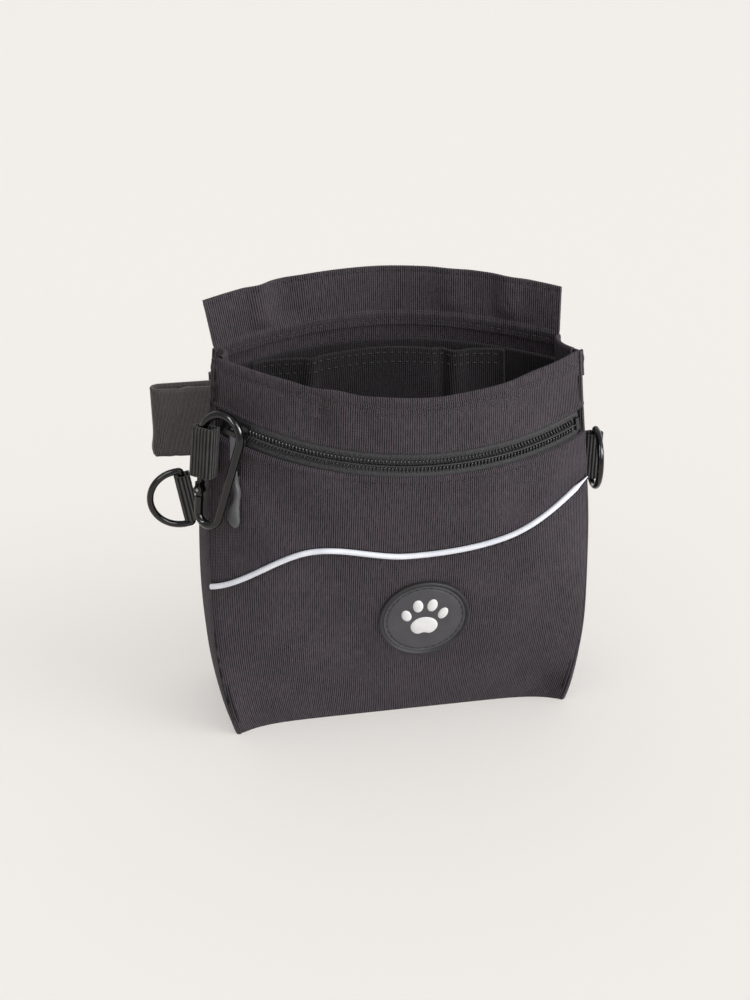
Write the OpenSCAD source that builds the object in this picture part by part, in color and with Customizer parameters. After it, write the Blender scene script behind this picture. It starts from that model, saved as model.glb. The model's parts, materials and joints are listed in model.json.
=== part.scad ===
// Treat pouch: a soft canvas bag that stands on its base with its mouth open, a short
// flap behind the mouth, a curved zipped pocket in front, a carabiner and two D-rings
// on webbing loops, and a waist belt that runs through a tunnel on the back.
// Millimetres. X to the right, -Y to the front, Z up, origin under the middle of the base.

/* [Bag] */
// Width of the base from side to side
base_width = 160; // [134:1:194]
// Depth of the base from front to back
base_depth = 62; // [51:1:75]
// Height of the rim at the side seams
bag_height = 180; // [150:1:216]
// Width of the mouth from side seam to side seam
mouth_width = 161; // [136:1:194]
// How far the sides swell outward between the base and the rim
side_swell = 9; // [5:1:12]
// How far the front of the mouth bows forward
front_bow = 31; // [26:1:36]
// How far the back of the mouth bows backward
back_bow = 22; // [17:1:26]
// How far the front swells forward at half height
belly = 3; // [0:1:6]
// How far the front rim sags below the side seams
rim_sag = 9; // [5:1:13]
// How far the back rim rises above the side seams
rim_arch = 6; // [3:1:9]
// Gap between front and back at the left end of the mouth
left_pinch = 13; // [12:1:18]
// Gap between front and back at the right end of the mouth
right_pinch = 21; // [17:1:26]
// How far the left end of the mouth sits behind the right end
mouth_twist = 14; // [8:1:18]
// Height of the flap above the back rim
flap_height = 22; // [18:1:28]

/* [Fabric] */
// Thickness of the outer canvas
canvas = 1.2; // [1.0:0.1:1.5]
// Thickness of the lining
lining = 0.6; // [0.5:0.1:0.8]
// Thickness of the board in the base
board = 1.6; // [1.2:0.1:2.0]
// Diameter of the reflective piping
piping_d = 2.6; // [2:0.1:3.2]

/* [Zip] */
// Distance of the zip below the lowest point of the front rim
zip_drop = 31; // [28:1:37]
// Lean of the plane that the zip curves in
zip_tilt = 19.6; // [16:0.1:22]
// Sideways place of the zip's foremost point
zip_offset = 11; // [8:1:13]
// Width of the closed chain
chain_width = 6; // [5:0.1:7]
// Thickness of the chain
chain_depth = 2.2; // [1.8:0.1:2.6]
// Width of the tape on each side of the chain
tape_width = 9; // [8:0.5:11]
// Length of the metal pull tab
tab_length = 20; // [16:1:24]
// Length of the rubber pull
rubber_length = 28; // [24:1:32]

/* [Badge] */
// Diameter of the rubber badge
badge_d = 43; // [36:1:50]
// Thickness of the rubber badge
badge_thick = 2; // [1.6:0.1:2.4]
// Height of the middle of the badge
badge_height = 57; // [48:1:60]
// Sideways place of the badge
badge_offset = 8.5; // [0:0.5:12]

/* [Hardware] */
// Width of the webbing loops
loop_width = 22.5; // [19:0.5:27]
// Thickness of the webbing
webbing = 1.5; // [1.2:0.1:1.8]
// Diameter of the D-ring wire
ring_wire = 3.1; // [2.7:0.1:3.8]
// How far each D-ring reaches past its bar
ring_reach = 16.5; // [15.5:0.5:20]
// Distance of the left ring's middle below the rim
left_ring_drop = 65; // [58:1:72]
// Distance of the right ring's middle below the rim
right_ring_drop = 57; // [51:1:64]
// Diameter of the carabiner's wire
clip_wire = 3.9; // [3.6:0.1:4.2]
// Distance between the centres of the carabiner's two bends
clip_length = 36; // [34:1:42]
// Distance of the carabiner's loop below the rim
clip_drop = 38.5; // [37:0.5:42]

/* [Belt] */
// Width of the waist belt
belt_width = 34; // [28:1:40]
// Thickness of the waist belt
belt_thick = 1.7; // [1.4:0.1:2.0]
// Distance of the belt's middle below the rim
belt_drop = 42; // [38:1:48]
// How far the belt's left fold stands out from the middle of the bag
belt_left = 108; // [106:1:120]

/* [Hidden] */

gap = 0.3;              // running clearance between moving pieces
seam = 0.15;            // clearance between pieces sewn together
base_bow = 4;           // how far the base's back edge bows past its corners
base_draw = 7;          // how far its front edge is drawn in between its corners
swell_power = 0.7;      // where the swell of the sides peaks
square_power = 8;       // how square the bag is at its base
round_power = 1.8;      // how round it is at its mouth
mouth_forward = 3;      // how far the mouth's ends sit in front of the base's middle
right_inset = 3;        // how far the back rim's right end sits inside the front's
hem = 12;               // depth of the folded hem at the mouth
pocket_gap = 5;         // room behind the front panels for the zip pocket
rim_squeeze = 0.38;     // share of that room left at the rim
step = 0.004;           // step for the slope of a surface

function mix(a, b, t) = a + (b - a) * t;
function clamp(t) = min(1, max(0, t));
function smooth(t) = let (s = clamp(t)) s * s * (3 - 2 * s);
function ease(v) = mix(v, smooth(v), 0.5);
function unit(p) = p / norm(p);

// ---- the bag's surfaces: u runs from -1 at the left seam to 1 at the right, v from
// ---- 0 at the base to 1 at the rim
function half_width(v) = mix(base_width, mouth_width, v) / 2
    + side_swell * sin(180 * pow(v, swell_power));
function fullness(u, v) = 1 - pow(abs(u), mix(square_power, round_power, pow(v, swell_power)));
function seam_y(u, v, at_base, at_left, at_right) =
    mix(at_base, mix(at_left, at_right, (u + 1) / 2), ease(v));

left_front = -mouth_forward + mouth_twist / 2 - left_pinch / 2;
left_back = left_front + left_pinch;
right_front = -mouth_forward - mouth_twist / 2 - right_pinch / 2;
right_back = right_front + right_pinch;
base_edge = base_depth / 2;

function front_height(u) = bag_height - rim_sag * (1 - u * u);
function back_height(u) = bag_height + rim_arch * (1 - u * u);
function front_raw(u, v) = [
    half_width(v) * u,
    seam_y(u, v, -base_edge, left_front, right_front)
        - (mix(-base_draw, front_bow, ease(v)) + belly * sin(180 * v)) * fullness(u, v),
    v * front_height(u)];
function back(u, v) = [
    half_width(v) * u - max(0, u) * right_inset * v,
    seam_y(u, v, base_edge - base_bow, left_back, right_back)
        + mix(base_bow, back_bow, ease(v)) * fullness(u, v),
    v * back_height(u)];

// ---- the zip lies on one circular arc, and the front surface is drawn through it
zip_z = bag_height - rim_sag - zip_drop;
zip_v0 = zip_z / (bag_height - rim_sag);
zip_sag = front_bow - 3;
zip_radius = (pow(mouth_width / 2, 2) + zip_sag * zip_sag) / (2 * zip_sag);
zip_y = front_raw(zip_offset / half_width(zip_v0), zip_v0)[1];
zip_centre = [zip_offset, zip_y + zip_radius * cos(zip_tilt), zip_z + zip_radius * sin(zip_tilt)];
zip_reach = 0.22;       // how far up and down the front surface bends to meet the zip
function zip_arc(x) = let (c = sqrt(pow(zip_radius, 2) - pow(x - zip_offset, 2)))
    [x, zip_centre[1] - c * cos(zip_tilt), zip_centre[2] - c * sin(zip_tilt)];
function zip_v_near(u, v) = zip_arc(half_width(v) * u)[2] / front_height(u);
function zip_v(u) = zip_v_near(u, zip_v_near(u, zip_v_near(u, zip_v0)));
function bump(t) = pow(max(0, 1 - t * t), 2);
function front(u, v) = let (
        z = zip_v(u),
        miss = zip_arc(half_width(z) * u)[1] - front_raw(u, z)[1])
    front_raw(u, v) + [0, miss * bump((v - z) / zip_reach), 0];

// ---- a gusset joins the front seam to the back seam: s runs from front to back
function gusset_depth(side, v) = norm(back(side, v) - front(side, v));
function gusset(side, s, v) = mix(front(side, v), back(side, v), s)
    + [side * mix(3, -3, smooth(2 * v - 1)) * 4 * s * (1 - s), 0, 0];

// ---- the S-shaped seam between the middle and lower panels, from left to right
seam_heights = [0.425, 0.566, 0.548, 0.578, 0.667];
function spline(p, t) = let (
        i = min(len(p) - 2, floor(t * (len(p) - 1))), f = t * (len(p) - 1) - i,
        a = p[max(0, i - 1)], b = p[i], c = p[i + 1], d = p[min(len(p) - 1, i + 2)])
    b + f * ((c - a) / 2 + f * ((a - 2.5 * b + 2 * c - d / 2) + f * (1.5 * (b - c) + (d - a) / 2)));
function seam_v(u) = spline(seam_heights, (u + 1) / 2);

// ---- a cloth is a closed sheet between two depths under a surface f(s, t), where s runs
// ---- to the right and t upward as seen from outside; depth may be a function of (s, t)
function cloth_normal(f, s, t) = unit(cross(
    f(min(1, s + step), t) - f(max(0, s - step), t),
    f(s, min(1, t + step)) - f(s, max(0, t - step))));
module cloth(f, cols, rows, outer, inner) {
    n = cols + 1;
    m = rows + 1;
    spots = [for (j = [0:rows]) for (i = [0:cols]) [i / cols, j / rows]];
    points = [for (depth = [outer, inner]) for (p = spots)
        above_floor(f(p[0], p[1]) - depth(p[0], p[1]) * cloth_normal(f, p[0], p[1]))];
    edge = concat([for (j = [0:rows - 1]) [j * n, (j + 1) * n]],
        [for (i = [0:cols - 1]) [rows * n + i, rows * n + i + 1]],
        [for (j = [rows:-1:1]) [j * n + cols, (j - 1) * n + cols]],
        [for (i = [cols:-1:1]) [i, i - 1]]);
    faces = concat(
        [for (j = [0:rows - 1]) for (i = [0:cols - 1]) let (a = j * n + i)
            each [[a, a + n, a + n + 1], [a, a + n + 1, a + 1]]],
        [for (j = [0:rows - 1]) for (i = [0:cols - 1]) let (a = n * m + j * n + i)
            each [[a, a + n + 1, a + n], [a, a + 1, a + n + 1]]],
        [for (e = edge) each [[e[1], e[0], e[0] + n * m], [e[1], e[0] + n * m, e[1] + n * m]]]);
    polyhedron(points, faces, convexity = 10);
}
function level(d) = function (s, t) d;
function above_floor(p) = [p[0], p[1], max(0, p[2])];

// ---- how deep the layers behind the front lie, less near the rim
function front_room(v) = mix(1, rim_squeeze, smooth((v - 0.855) / 0.08));
function welt_v(u) = (chain_width / 2 + 2.4) / front_height(u);
front_end = 0.995;      // how near to the side seam a front panel's edge comes
turn = 1.4;             // how far round the corner a gusset's edge starts
function front_turn(v) = turn + 1.3 * canvas * smooth((v - 0.84) / 0.08);

module front_panel(low, high, rows, inner) {
    cloth(function (s, t) let (u = mix(-front_end, front_end, s)) front(u, mix(low(u), high(u), t)),
        32, rows, level(0), inner);
}

hem_share = hem / zip_drop;
module front_upper_panel() {
    color([0.15, 0.14, 0.15])
    front_panel(function (u) zip_v(u) + welt_v(u), function (u) 1, 6,
        function (s, t) t > 1 - hem_share ? 2 * canvas : canvas);
}

module front_middle_panel() {
    color([0.15, 0.14, 0.15])
    front_panel(function (u) seam_v(u) + 0.004, function (u) zip_v(u) - welt_v(u), 6, level(canvas));
}

module front_lower_panel() {
    color([0.15, 0.14, 0.15])
    front_panel(function (u) 0, function (u) seam_v(u) - 0.004, 8, level(canvas));
}

module side_cloth(side, rows) {
    f = function (s, v) let (d = gusset_depth(side, v), a = front_turn(v) / d, b = 1 - turn / d)
        gusset(side, side > 0 ? mix(a, b, s) : mix(b, a, s), v);
    cloth(f, 6, rows, level(0), level(canvas));
}

module left_gusset() {
    color([0.15, 0.14, 0.15]) side_cloth(-1, 14);
}

module right_gusset() {
    color([0.15, 0.14, 0.15]) side_cloth(1, 14);
}

module back_panel() {
    color([0.15, 0.14, 0.15])
    cloth(function (s, t) back(mix(front_end, -front_end, s), t), 24, 14, level(0), level(canvas));
}

// ---- the base: every flat layer is the same outline, drawn in by its own inset
function base_outline(inset) = concat(
    [for (i = [0:48]) let (u = i / 24 - 1, p = front(u, 0))
        [p[0] * (1 - 2 * inset / base_width), p[1] + inset * (1 + 0.35 * pow(abs(u), square_power))]],
    [for (i = [20:-1:0]) let (u = i / 10 - 1, p = back(u, 0))
        [p[0] * (1 - 2 * inset / base_width), p[1] - inset]]);
module base_layer(inset, low, thick) {
    translate([0, 0, low]) linear_extrude(thick) polygon(base_outline(inset));
}
board_low = canvas + seam;
base_lining_low = board_low + board + seam;

module bottom_panel() {
    color([0.13, 0.12, 0.13]) base_layer(canvas + 2 * seam, 0, canvas);
}

module base_board() {
    color([0.25, 0.25, 0.26]) base_layer(canvas + 4 * seam, board_low, board);
}

module bottom_lining() {
    color([0.1, 0.1, 0.1]) base_layer(pocket_gap + canvas + lining + 4 * seam, base_lining_low, lining);
}

// ---- the inner bag hangs inside the canvas and ends below the hem
front_lining_depth = canvas + pocket_gap;
back_lining_depth = canvas + 2 * seam + 0.6;
lining_top = 1 - (hem + 2) / bag_height;
lining_low = (base_lining_low + lining + seam) / (bag_height - rim_sag);
front_lining_end = 0.9; // how near to the side seam the front lining comes

module front_lining() {
    color([0.1, 0.1, 0.1])
    cloth(function (s, t) front(mix(-front_lining_end, front_lining_end, s), mix(lining_low, lining_top, t)),
        24, 10,
        function (s, t) front_lining_depth * front_room(mix(lining_low, lining_top, t)),
        function (s, t) front_lining_depth * front_room(mix(lining_low, lining_top, t)) + lining);
}

module back_lining() {
    color([0.1, 0.1, 0.1])
    cloth(function (s, t) back(mix(0.95, -0.95, s), mix(lining_low, lining_top, t)),
        20, 10, level(back_lining_depth), level(back_lining_depth + lining));
}

module side_lining(side) {
    f = function (s, t) let (
            v = mix(lining_low, lining_top, t), d = gusset_depth(side, v),
            a = (front_lining_depth * front_room(v) + 2.2) / d,
            b = 1 - (back_lining_depth + 1.8) / d)
        gusset(side, side > 0 ? mix(a, b, s) : mix(b, a, s), v);
    cloth(f, 4, 10, level(back_lining_depth), level(back_lining_depth + lining));
}

module left_lining() {
    color([0.1, 0.1, 0.1]) side_lining(-1);
}

module right_lining() {
    color([0.1, 0.1, 0.1]) side_lining(1);
}

backing_top = zip_v0 + 0.035;
module zip_pocket_backing() {
    color([0.12, 0.12, 0.12])
    cloth(function (s, t) front(mix(-0.86, 0.86, s), mix(0.3, backing_top, t)), 20, 8,
        level(canvas + 3.4), level(canvas + 3.8));
}

// ---- a patch pocket on the back lining, open at its top and standing off in the middle
pocket_top = 0.935;
pocket_low = 0.55;
pocket_stand = 8;
pocket_start = back_lining_depth + lining + seam;
function pocket_depth(s, t) = pocket_start
    + pocket_stand * smooth(4 * min(s, 1 - s)) * smooth(3 * t);

module inner_pocket() {
    color([0.17, 0.16, 0.17])
    cloth(function (s, t) back(mix(0.7, -0.78, s), mix(pocket_low, pocket_top, t)), 20, 8,
        function (s, t) pocket_depth(s, t), function (s, t) pocket_depth(s, t) + 0.9);
}

// ---- the flap stands on the back rim and folds forward about the line through its ends
flap_gap = 0.4;
flap_flare = 0.045;     // how much wider the flap's left end gets towards its top
flap_lean = 1.5;
function flap(u, t) = back(u, 1) + [
    u < 0 ? u * mouth_width / 2 * flap_flare * t : 0,
    flap_lean * t,
    flap_gap + (flap_height - flap_gap) * t];

module flap_outer() {
    color([0.15, 0.14, 0.15])
    cloth(function (s, t) flap(mix(0.985, -0.985, s), t), 24, 4, level(0), level(canvas));
}

module flap_facing() {
    color([0.14, 0.13, 0.14])
    cloth(function (s, t) flap(mix(0.985, -0.985, s), mix(0.02, 0.985, t)), 24, 4,
        level(canvas + seam), level(canvas + seam + canvas));
}

// ---- the piping lies in the S-shaped seam, a round cord half proud of the cloth
piping_turns = 44;
piping_sides = 8;
module reflective_piping() {
    path = function (k) let (u = mix(-0.985, 0.985, k / piping_turns)) front(u, seam_v(u));
    out = function (k) let (u = mix(-0.985, 0.985, k / piping_turns), v = seam_v(u))
        unit(cross(front(u + step, v) - front(u - step, v), front(u, v + step) - front(u, v - step)));
    along = function (k) unit(path(min(piping_turns, k + 0.5)) - path(max(0, k - 0.5)));
    points = [for (k = [0:piping_turns]) for (j = [0:piping_sides - 1])
        let (a = 360 * j / piping_sides, n = out(k), w = cross(along(k), n))
        path(k) + n * (piping_d / 2 + seam) + (n * cos(a) + w * sin(a)) * piping_d / 2];
    faces = concat(
        [[for (j = [0:piping_sides - 1]) j]],
        [for (k = [0:piping_turns - 1]) for (j = [0:piping_sides - 1]) let (
                a = k * piping_sides + j, b = k * piping_sides + (j + 1) % piping_sides)
            each [[a, a + piping_sides, b + piping_sides], [a, b + piping_sides, b]]],
        [[for (j = [piping_sides - 1:-1:0]) piping_turns * piping_sides + j]]);
    color([0.85, 0.86, 0.9]) polyhedron(points, faces, convexity = 10);
}

// ---- things that lie on the lower panel are drawn in the badge's own flat coordinates
badge_v = badge_height / front_height(badge_offset / half_width(0.3));
function badge_point(a, b) = let (v = badge_v + b / (bag_height - rim_sag))
    front((badge_offset + a) / half_width(v), v);
module badge_disc(a, b, ra, rb, low, high, rings, sides) {
    f = function (s, t) badge_point(a + ra * t * sin(-360 * s), b + rb * t * cos(360 * s));
    n = function (s, t) let (p = f(s, t)) unit(cross(
        badge_point(a + ra * t * sin(-360 * s) + 1, b + rb * t * cos(360 * s))
            - badge_point(a + ra * t * sin(-360 * s) - 1, b + rb * t * cos(360 * s)),
        badge_point(a + ra * t * sin(-360 * s), b + rb * t * cos(360 * s) + 1)
            - badge_point(a + ra * t * sin(-360 * s), b + rb * t * cos(360 * s) - 1)));
    m = rings * sides + 1;
    points = concat(
        [f(0, 0) + n(0, 0) * high],
        [for (r = [1:rings]) for (k = [0:sides - 1]) f(k / sides, r / rings) + n(k / sides, r / rings) * high],
        [f(0, 0) + n(0, 0) * low],
        [for (r = [1:rings]) for (k = [0:sides - 1]) f(k / sides, r / rings) + n(k / sides, r / rings) * low]);
    at = function (r, k) r == 0 ? 0 : 1 + (r - 1) * sides + k % sides;
    faces = concat(
        [for (k = [0:sides - 1]) [0, at(1, k + 1), at(1, k)]],
        [for (r = [1:1:rings - 1]) for (k = [0:sides - 1])
            each [[at(r, k), at(r + 1, k + 1), at(r + 1, k)], [at(r, k), at(r, k + 1), at(r + 1, k + 1)]]],
        [for (k = [0:sides - 1]) [m, m + at(1, k), m + at(1, k + 1)]],
        [for (r = [1:1:rings - 1]) for (k = [0:sides - 1])
            each [[m + at(r, k), m + at(r + 1, k), m + at(r + 1, k + 1)],
                [m + at(r, k), m + at(r + 1, k + 1), m + at(r, k + 1)]]],
        [for (k = [0:sides - 1]) each [
            [at(rings, k), at(rings, k + 1), m + at(rings, k + 1)],
            [at(rings, k), m + at(rings, k + 1), m + at(rings, k)]]]);
    polyhedron(points, faces, convexity = 4);
}

module rubber_badge() {
    color([0.36, 0.36, 0.38])
    badge_disc(0, 0, badge_d / 2, badge_d / 2, seam, badge_thick, 5, 36);
}

// ---- the emblem is a plain paw print: one pad and four toes
toe_spread = 0.2 * badge_d;
module badge_emblem() {
    low = badge_thick + 0.05;
    high = low + 0.5;
    color([0.9, 0.9, 0.9]) {
        badge_disc(0, -0.09 * badge_d, 0.15 * badge_d, 0.12 * badge_d, low, high, 2, 24);
        for (side = [-1, 1]) {
            badge_disc(side * toe_spread, 0.08 * badge_d, 0.055 * badge_d, 0.075 * badge_d, low, high, 1, 16);
            badge_disc(side * toe_spread * 0.4, 0.19 * badge_d, 0.058 * badge_d, 0.08 * badge_d, low, high, 1, 16);
        }
    }
}

// ---- zip: every piece is turned about the axis of the zip's arc, so the slider can run
// ---- along it; in a section, x is the distance outward from the arc and y runs up the cloth
zip_left = -asin((half_width(zip_v0) * 0.915 + zip_offset) / zip_radius);
zip_right = asin((half_width(zip_v0) * 0.93 - zip_offset) / zip_radius);
section_lean = zip_tilt;  // lean of the chain and the slider in that section
upper_lean = 15;          // how much further the upper tape leans into the bag
lower_lean = 3;           // how much the lower tape does
module at_zip(angle) {
    translate(zip_centre) rotate([zip_tilt, 0, 0]) rotate([0, 0, angle - 90]) children();
}
module zip_sweep(from, to) {
    at_zip(from) rotate_extrude(angle = to - from, $fn = 180)
        translate([zip_radius, 0]) rotate(section_lean) children();
}
coil_mid = -0.6;        // depth of the chain's middle under the cloth's face
coil_gap = 0.8;         // gap between the two rows, which the slider's wedge runs in
tape_thick = 0.6;
tape_face = coil_mid - chain_depth / 2 - 0.02;

module zip_tape(side) {
    edge = chain_width / 2 + 2;
    wide = chain_width / 2 + tape_width - (side > 0 ? 1.5 : 0);
    lean = (wide - edge) * tan(side > 0 ? upper_lean : lower_lean);
    zip_sweep(zip_left - 1.5, zip_right + 1.5) mirror([0, side > 0 ? 0 : 1]) polygon([
        for (x = [tape_face, tape_face - tape_thick]) for (y = x == tape_face ? [0, 1, 2] : [2, 1, 0])
            [x - (y == 2 ? lean : 0), [coil_gap / 2, edge, wide][y]]]);
}

module upper_zip_tape() {
    color([0.1, 0.1, 0.1]) zip_tape(1);
}

module lower_zip_tape() {
    color([0.1, 0.1, 0.1]) zip_tape(-1);
}

module zip_coil(side) {
    wide = chain_width / 2 - coil_gap / 2;
    zip_sweep(zip_left, zip_right)
        translate([coil_mid - chain_depth / 2, side > 0 ? coil_gap / 2 : -coil_gap / 2 - wide])
            square([chain_depth, wide]);
}

module upper_zip_coil() {
    color([0.06, 0.06, 0.06]) zip_coil(1);
}

module lower_zip_coil() {
    color([0.06, 0.06, 0.06]) zip_coil(-1);
}

stop_angle = 0.9;       // arc that one end stop takes
module zip_end_stops() {
    color([0.2, 0.2, 0.2])
    for (start = [zip_left - stop_angle - 0.1, zip_right + 0.1])
        zip_sweep(start, start + stop_angle)
            translate([coil_mid - chain_depth / 2, -chain_width / 2]) square([chain_depth, chain_width]);
}

wedge = 0.3;            // thickness of the wedge that joins the slider's two plates
slider_half = 5.2;      // half of the slider's length along the chain
plate = 1.1;            // thickness of each slider plate
slider_rest = zip_left + 2.8;
slider_arc = slider_half / zip_radius * 180 / PI;
post_arc = 0.88 * slider_arc;
slider_inside = chain_depth / 2 + gap;
slider_side = chain_width / 2 + gap;
slider_top = coil_mid + slider_inside + plate;
bridge_high = 2.0;      // room under the slider's bridge
post_r = 1.1;           // radius of the post that the pull tab turns on
module zip_slider() {
    color([0.18, 0.18, 0.19]) {
        zip_sweep(slider_rest - slider_arc, slider_rest + slider_arc)
            for (flip = [0, 1]) mirror([0, flip]) difference() {
                translate([coil_mid - slider_inside - plate, 0])
                    square([2 * (slider_inside + plate), slider_side + 0.9]);
                translate([coil_mid - slider_inside, wedge / 2]) square([2 * slider_inside, slider_side]);
                translate([tape_face - tape_thick - gap, wedge / 2])
                    square([tape_thick + 2 * gap, slider_side + 4]);
            }
        for (end = [-1, 1])
            zip_sweep(slider_rest + end * post_arc - 0.2, slider_rest + end * post_arc + 0.2)
                translate([slider_top - 0.05, -1]) square([bridge_high + 0.05, 2]);
        zip_sweep(slider_rest - post_arc - 0.2, slider_rest + post_arc + 0.2)
            translate([slider_top + bridge_high, -1]) square([0.7, 2]);
        at_zip(slider_rest) translate([zip_radius, 0, 0]) rotate([0, -section_lean, 0])
            translate([slider_top - 0.05, 0, 0]) rotate([0, 90, 0])
                cylinder(r = post_r, h = bridge_high + 0.1, $fn = 24);
    }
}

// ---- the pull hangs from the slider's post: its own frame has x along the zip to the
// ---- right, y into the bag and -z down the cloth
pull_lean = 5.9;        // how much further than the slider the pull leans, to lie along the cloth
pull_roll = 16;         // turn about the slider's post that makes it hang straight down
pull_out = slider_top + bridge_high / 2;
module at_pull() {
    at_zip(slider_rest) translate([zip_radius, 0, 0])
        translate(pull_out * [cos(section_lean), 0, sin(section_lean)])
        rotate([0, 0, 90]) rotate([-section_lean, 0, 0]) rotate([0, -pull_roll, 0])
        rotate([-pull_lean, 0, 0]) children();
}
module upright(thick) {
    rotate([90, 0, 0]) translate([0, 0, -thick / 2]) linear_extrude(thick) children();
}
tab_thick = 0.9;
tab_width = 4.6;
eye_r = 2.8;            // outer radius of the tab's upper eye
tab_end_r = tab_width / 2;
tab_hole_r = 1.3;       // hole that the rubber pull's pin passes through
tab_hole_z = -tab_length + tab_end_r;
module zip_pull_tab() {
    color([0.3, 0.3, 0.31]) at_pull() upright(tab_thick) difference() {
        union() {
            circle(r = eye_r, $fn = 32);
            translate([-tab_width / 2, tab_hole_z]) square([tab_width, -tab_hole_z - eye_r / 2]);
            translate([0, tab_hole_z]) circle(r = tab_end_r, $fn = 32);
        }
        circle(r = post_r + 0.7, $fn = 24);
        translate([0, tab_hole_z]) circle(r = tab_hole_r, $fn = 24);
    }
}

rubber_thick = 3;
cheek = (rubber_thick - tab_thick) / 2 - 0.15;
module rubber_pull() {
    neck = 1.5;
    bulb = 3.1;
    low = -rubber_length + bulb + tab_end_r;
    color([0.42, 0.42, 0.43]) at_pull() translate([0, 0, tab_hole_z]) {
        for (side = [-1, 1]) translate([0, side * (rubber_thick - cheek) / 2, 0]) upright(cheek) {
            circle(r = tab_end_r - 0.2, $fn = 24);
            translate([-neck, -tab_end_r - 1]) square([2 * neck, tab_end_r + 1]);
        }
        rotate([90, 0, 0]) cylinder(r = tab_hole_r - 0.3, h = rubber_thick - 0.1, center = true, $fn = 24);
        upright(rubber_thick) {
            translate([-neck, low + 6]) square([2 * neck, -low - 6 - tab_end_r - 0.3]);
            hull() {
                translate([0, low + 7]) circle(r = neck, $fn = 24);
                translate([0, low]) circle(r = bulb, $fn = 32);
            }
        }
    }
}

// ---- carabiner: its frame stands on the gate's axis, x along the front towards the
// ---- spine, y into the bag, z up the gate; it lies along the front's left corner
clip_v = (bag_height - clip_drop) / bag_height;
clip_corner = front(-1, clip_v);
clip_along = front(-0.8, clip_v) - clip_corner;
clip_turn = atan2(clip_along[1], clip_along[0]);
clip_into = [-sin(clip_turn), cos(clip_turn), 0];
clip_above = front(-0.86, clip_v);
clip_below = front(-0.86, clip_v - 0.2);
clip_lean = atan((clip_above - clip_below) * clip_into / (clip_above - clip_below)[2]);
clip_off = 7.3;         // distance of the carabiner's plane from the cloth
clip_past = -0.8;       // distance of the gate outside the bag's corner
clip_origin = clip_corner - clip_past * [cos(clip_turn), sin(clip_turn), 0] - clip_off * clip_into;
module at_clip() {
    translate(clip_origin) rotate([0, 0, clip_turn]) rotate([-clip_lean, 0, 0]) children();
}
big_bend = 9.8;         // bend radius at the carabiner's wide end
small_bend = 5.5;        // bend radius at its narrow end
big_z = 8.2;            // height of the wide bend's centre above the loop's middle
small_z = big_z - clip_length;
spine_turn = 2 * atan((big_bend - small_bend) / clip_length);
hinge_z = small_z + 10;
nose_turn = 12;         // part of the wide bend that the nose leaves out
gate_r = 1.4;
pin_r = 0.7;
pin_play = 0.05;
tongue_thick = 1.4;     // flat at the end of the body that the gate's fork straddles
fork_r = 2.1;

module bend(x, z, r, from, to) {
    translate([x, 0, z]) rotate([90, 0, 0]) rotate([0, 0, from])
        rotate_extrude(angle = to - from, $fn = 64) translate([r, 0]) circle(d = clip_wire, $fn = 24);
}
module carabiner_body() {
    top = [big_bend + big_bend * cos(spine_turn), big_z - big_bend * sin(spine_turn)];
    low = [small_bend + small_bend * cos(spine_turn), small_z - small_bend * sin(spine_turn)];
    color([0.07, 0.07, 0.08]) at_clip() difference() {
        union() {
            bend(big_bend, big_z, big_bend, -spine_turn, 180 - nose_turn);
            bend(small_bend, small_z, small_bend, 180, 360 - spine_turn);
            translate([low[0], 0, low[1]]) rotate([0, spine_turn, 0]) translate([0, 0, -0.2])
                cylinder(d = clip_wire + 0.06, h = norm(top - low) + 0.4, $fn = 24);
            translate([0, 0, small_z]) cylinder(d = clip_wire, h = hinge_z - 3.2 - small_z, $fn = 24);
            translate([-1.6, -tongue_thick / 2, hinge_z - 4]) cube([3.2, tongue_thick, 4]);
            translate([0, 0, hinge_z]) rotate([90, 0, 0])
                cylinder(r = 1.6, h = tongue_thick, center = true, $fn = 24);
        }
        translate([0, 0, hinge_z]) rotate([90, 0, 0])
            cylinder(r = pin_r + pin_play, h = clip_wire, center = true, $fn = 24);
    }
}

module carabiner_gate() {
    fork_inner = tongue_thick / 2 + 0.15;
    color([0.1, 0.1, 0.11]) at_clip() difference() {
        union() {
            translate([0, 0, hinge_z + 2.2]) cylinder(r = gate_r, h = big_z + 1 - hinge_z - 2.2, $fn = 24);
            for (side = [-1, 1]) translate([0, side * (fork_inner + 0.5), hinge_z]) {
                rotate([90, 0, 0]) cylinder(r = fork_r, h = 1, center = true, $fn = 24);
                translate([-1.3, -0.5, 0]) cube([2.6, 1, 3.6]);
            }
            translate([-1.3, -fork_inner - 1, hinge_z + 2]) cube([2.6, 2 * fork_inner + 2, 1.8]);
        }
        translate([0, 0, hinge_z]) rotate([90, 0, 0])
            cylinder(r = pin_r + pin_play, h = 2 * clip_wire, center = true, $fn = 24);
    }
}

module gate_pin() {
    color([0.6, 0.6, 0.6]) at_clip() translate([0, 0, hinge_z]) rotate([90, 0, 0])
        cylinder(r = pin_r, h = tongue_thick + 2.7, center = true, $fn = 24);
}

// ---- a webbing loop in its own frame: it stands out along +x from its sewn end at 0
module loop_outline(reach, half) {
    translate([reach - half, 0]) circle(r = half, $fn = 32);
    translate([0, -half]) square([reach - half, 2 * half]);
}
module webbing_loop(reach, half) {
    translate([0, 0, -loop_width / 2]) linear_extrude(loop_width) difference() {
        loop_outline(reach, half);
        translate([webbing, 0]) loop_outline(reach - 2 * webbing, half - webbing);
    }
}

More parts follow.
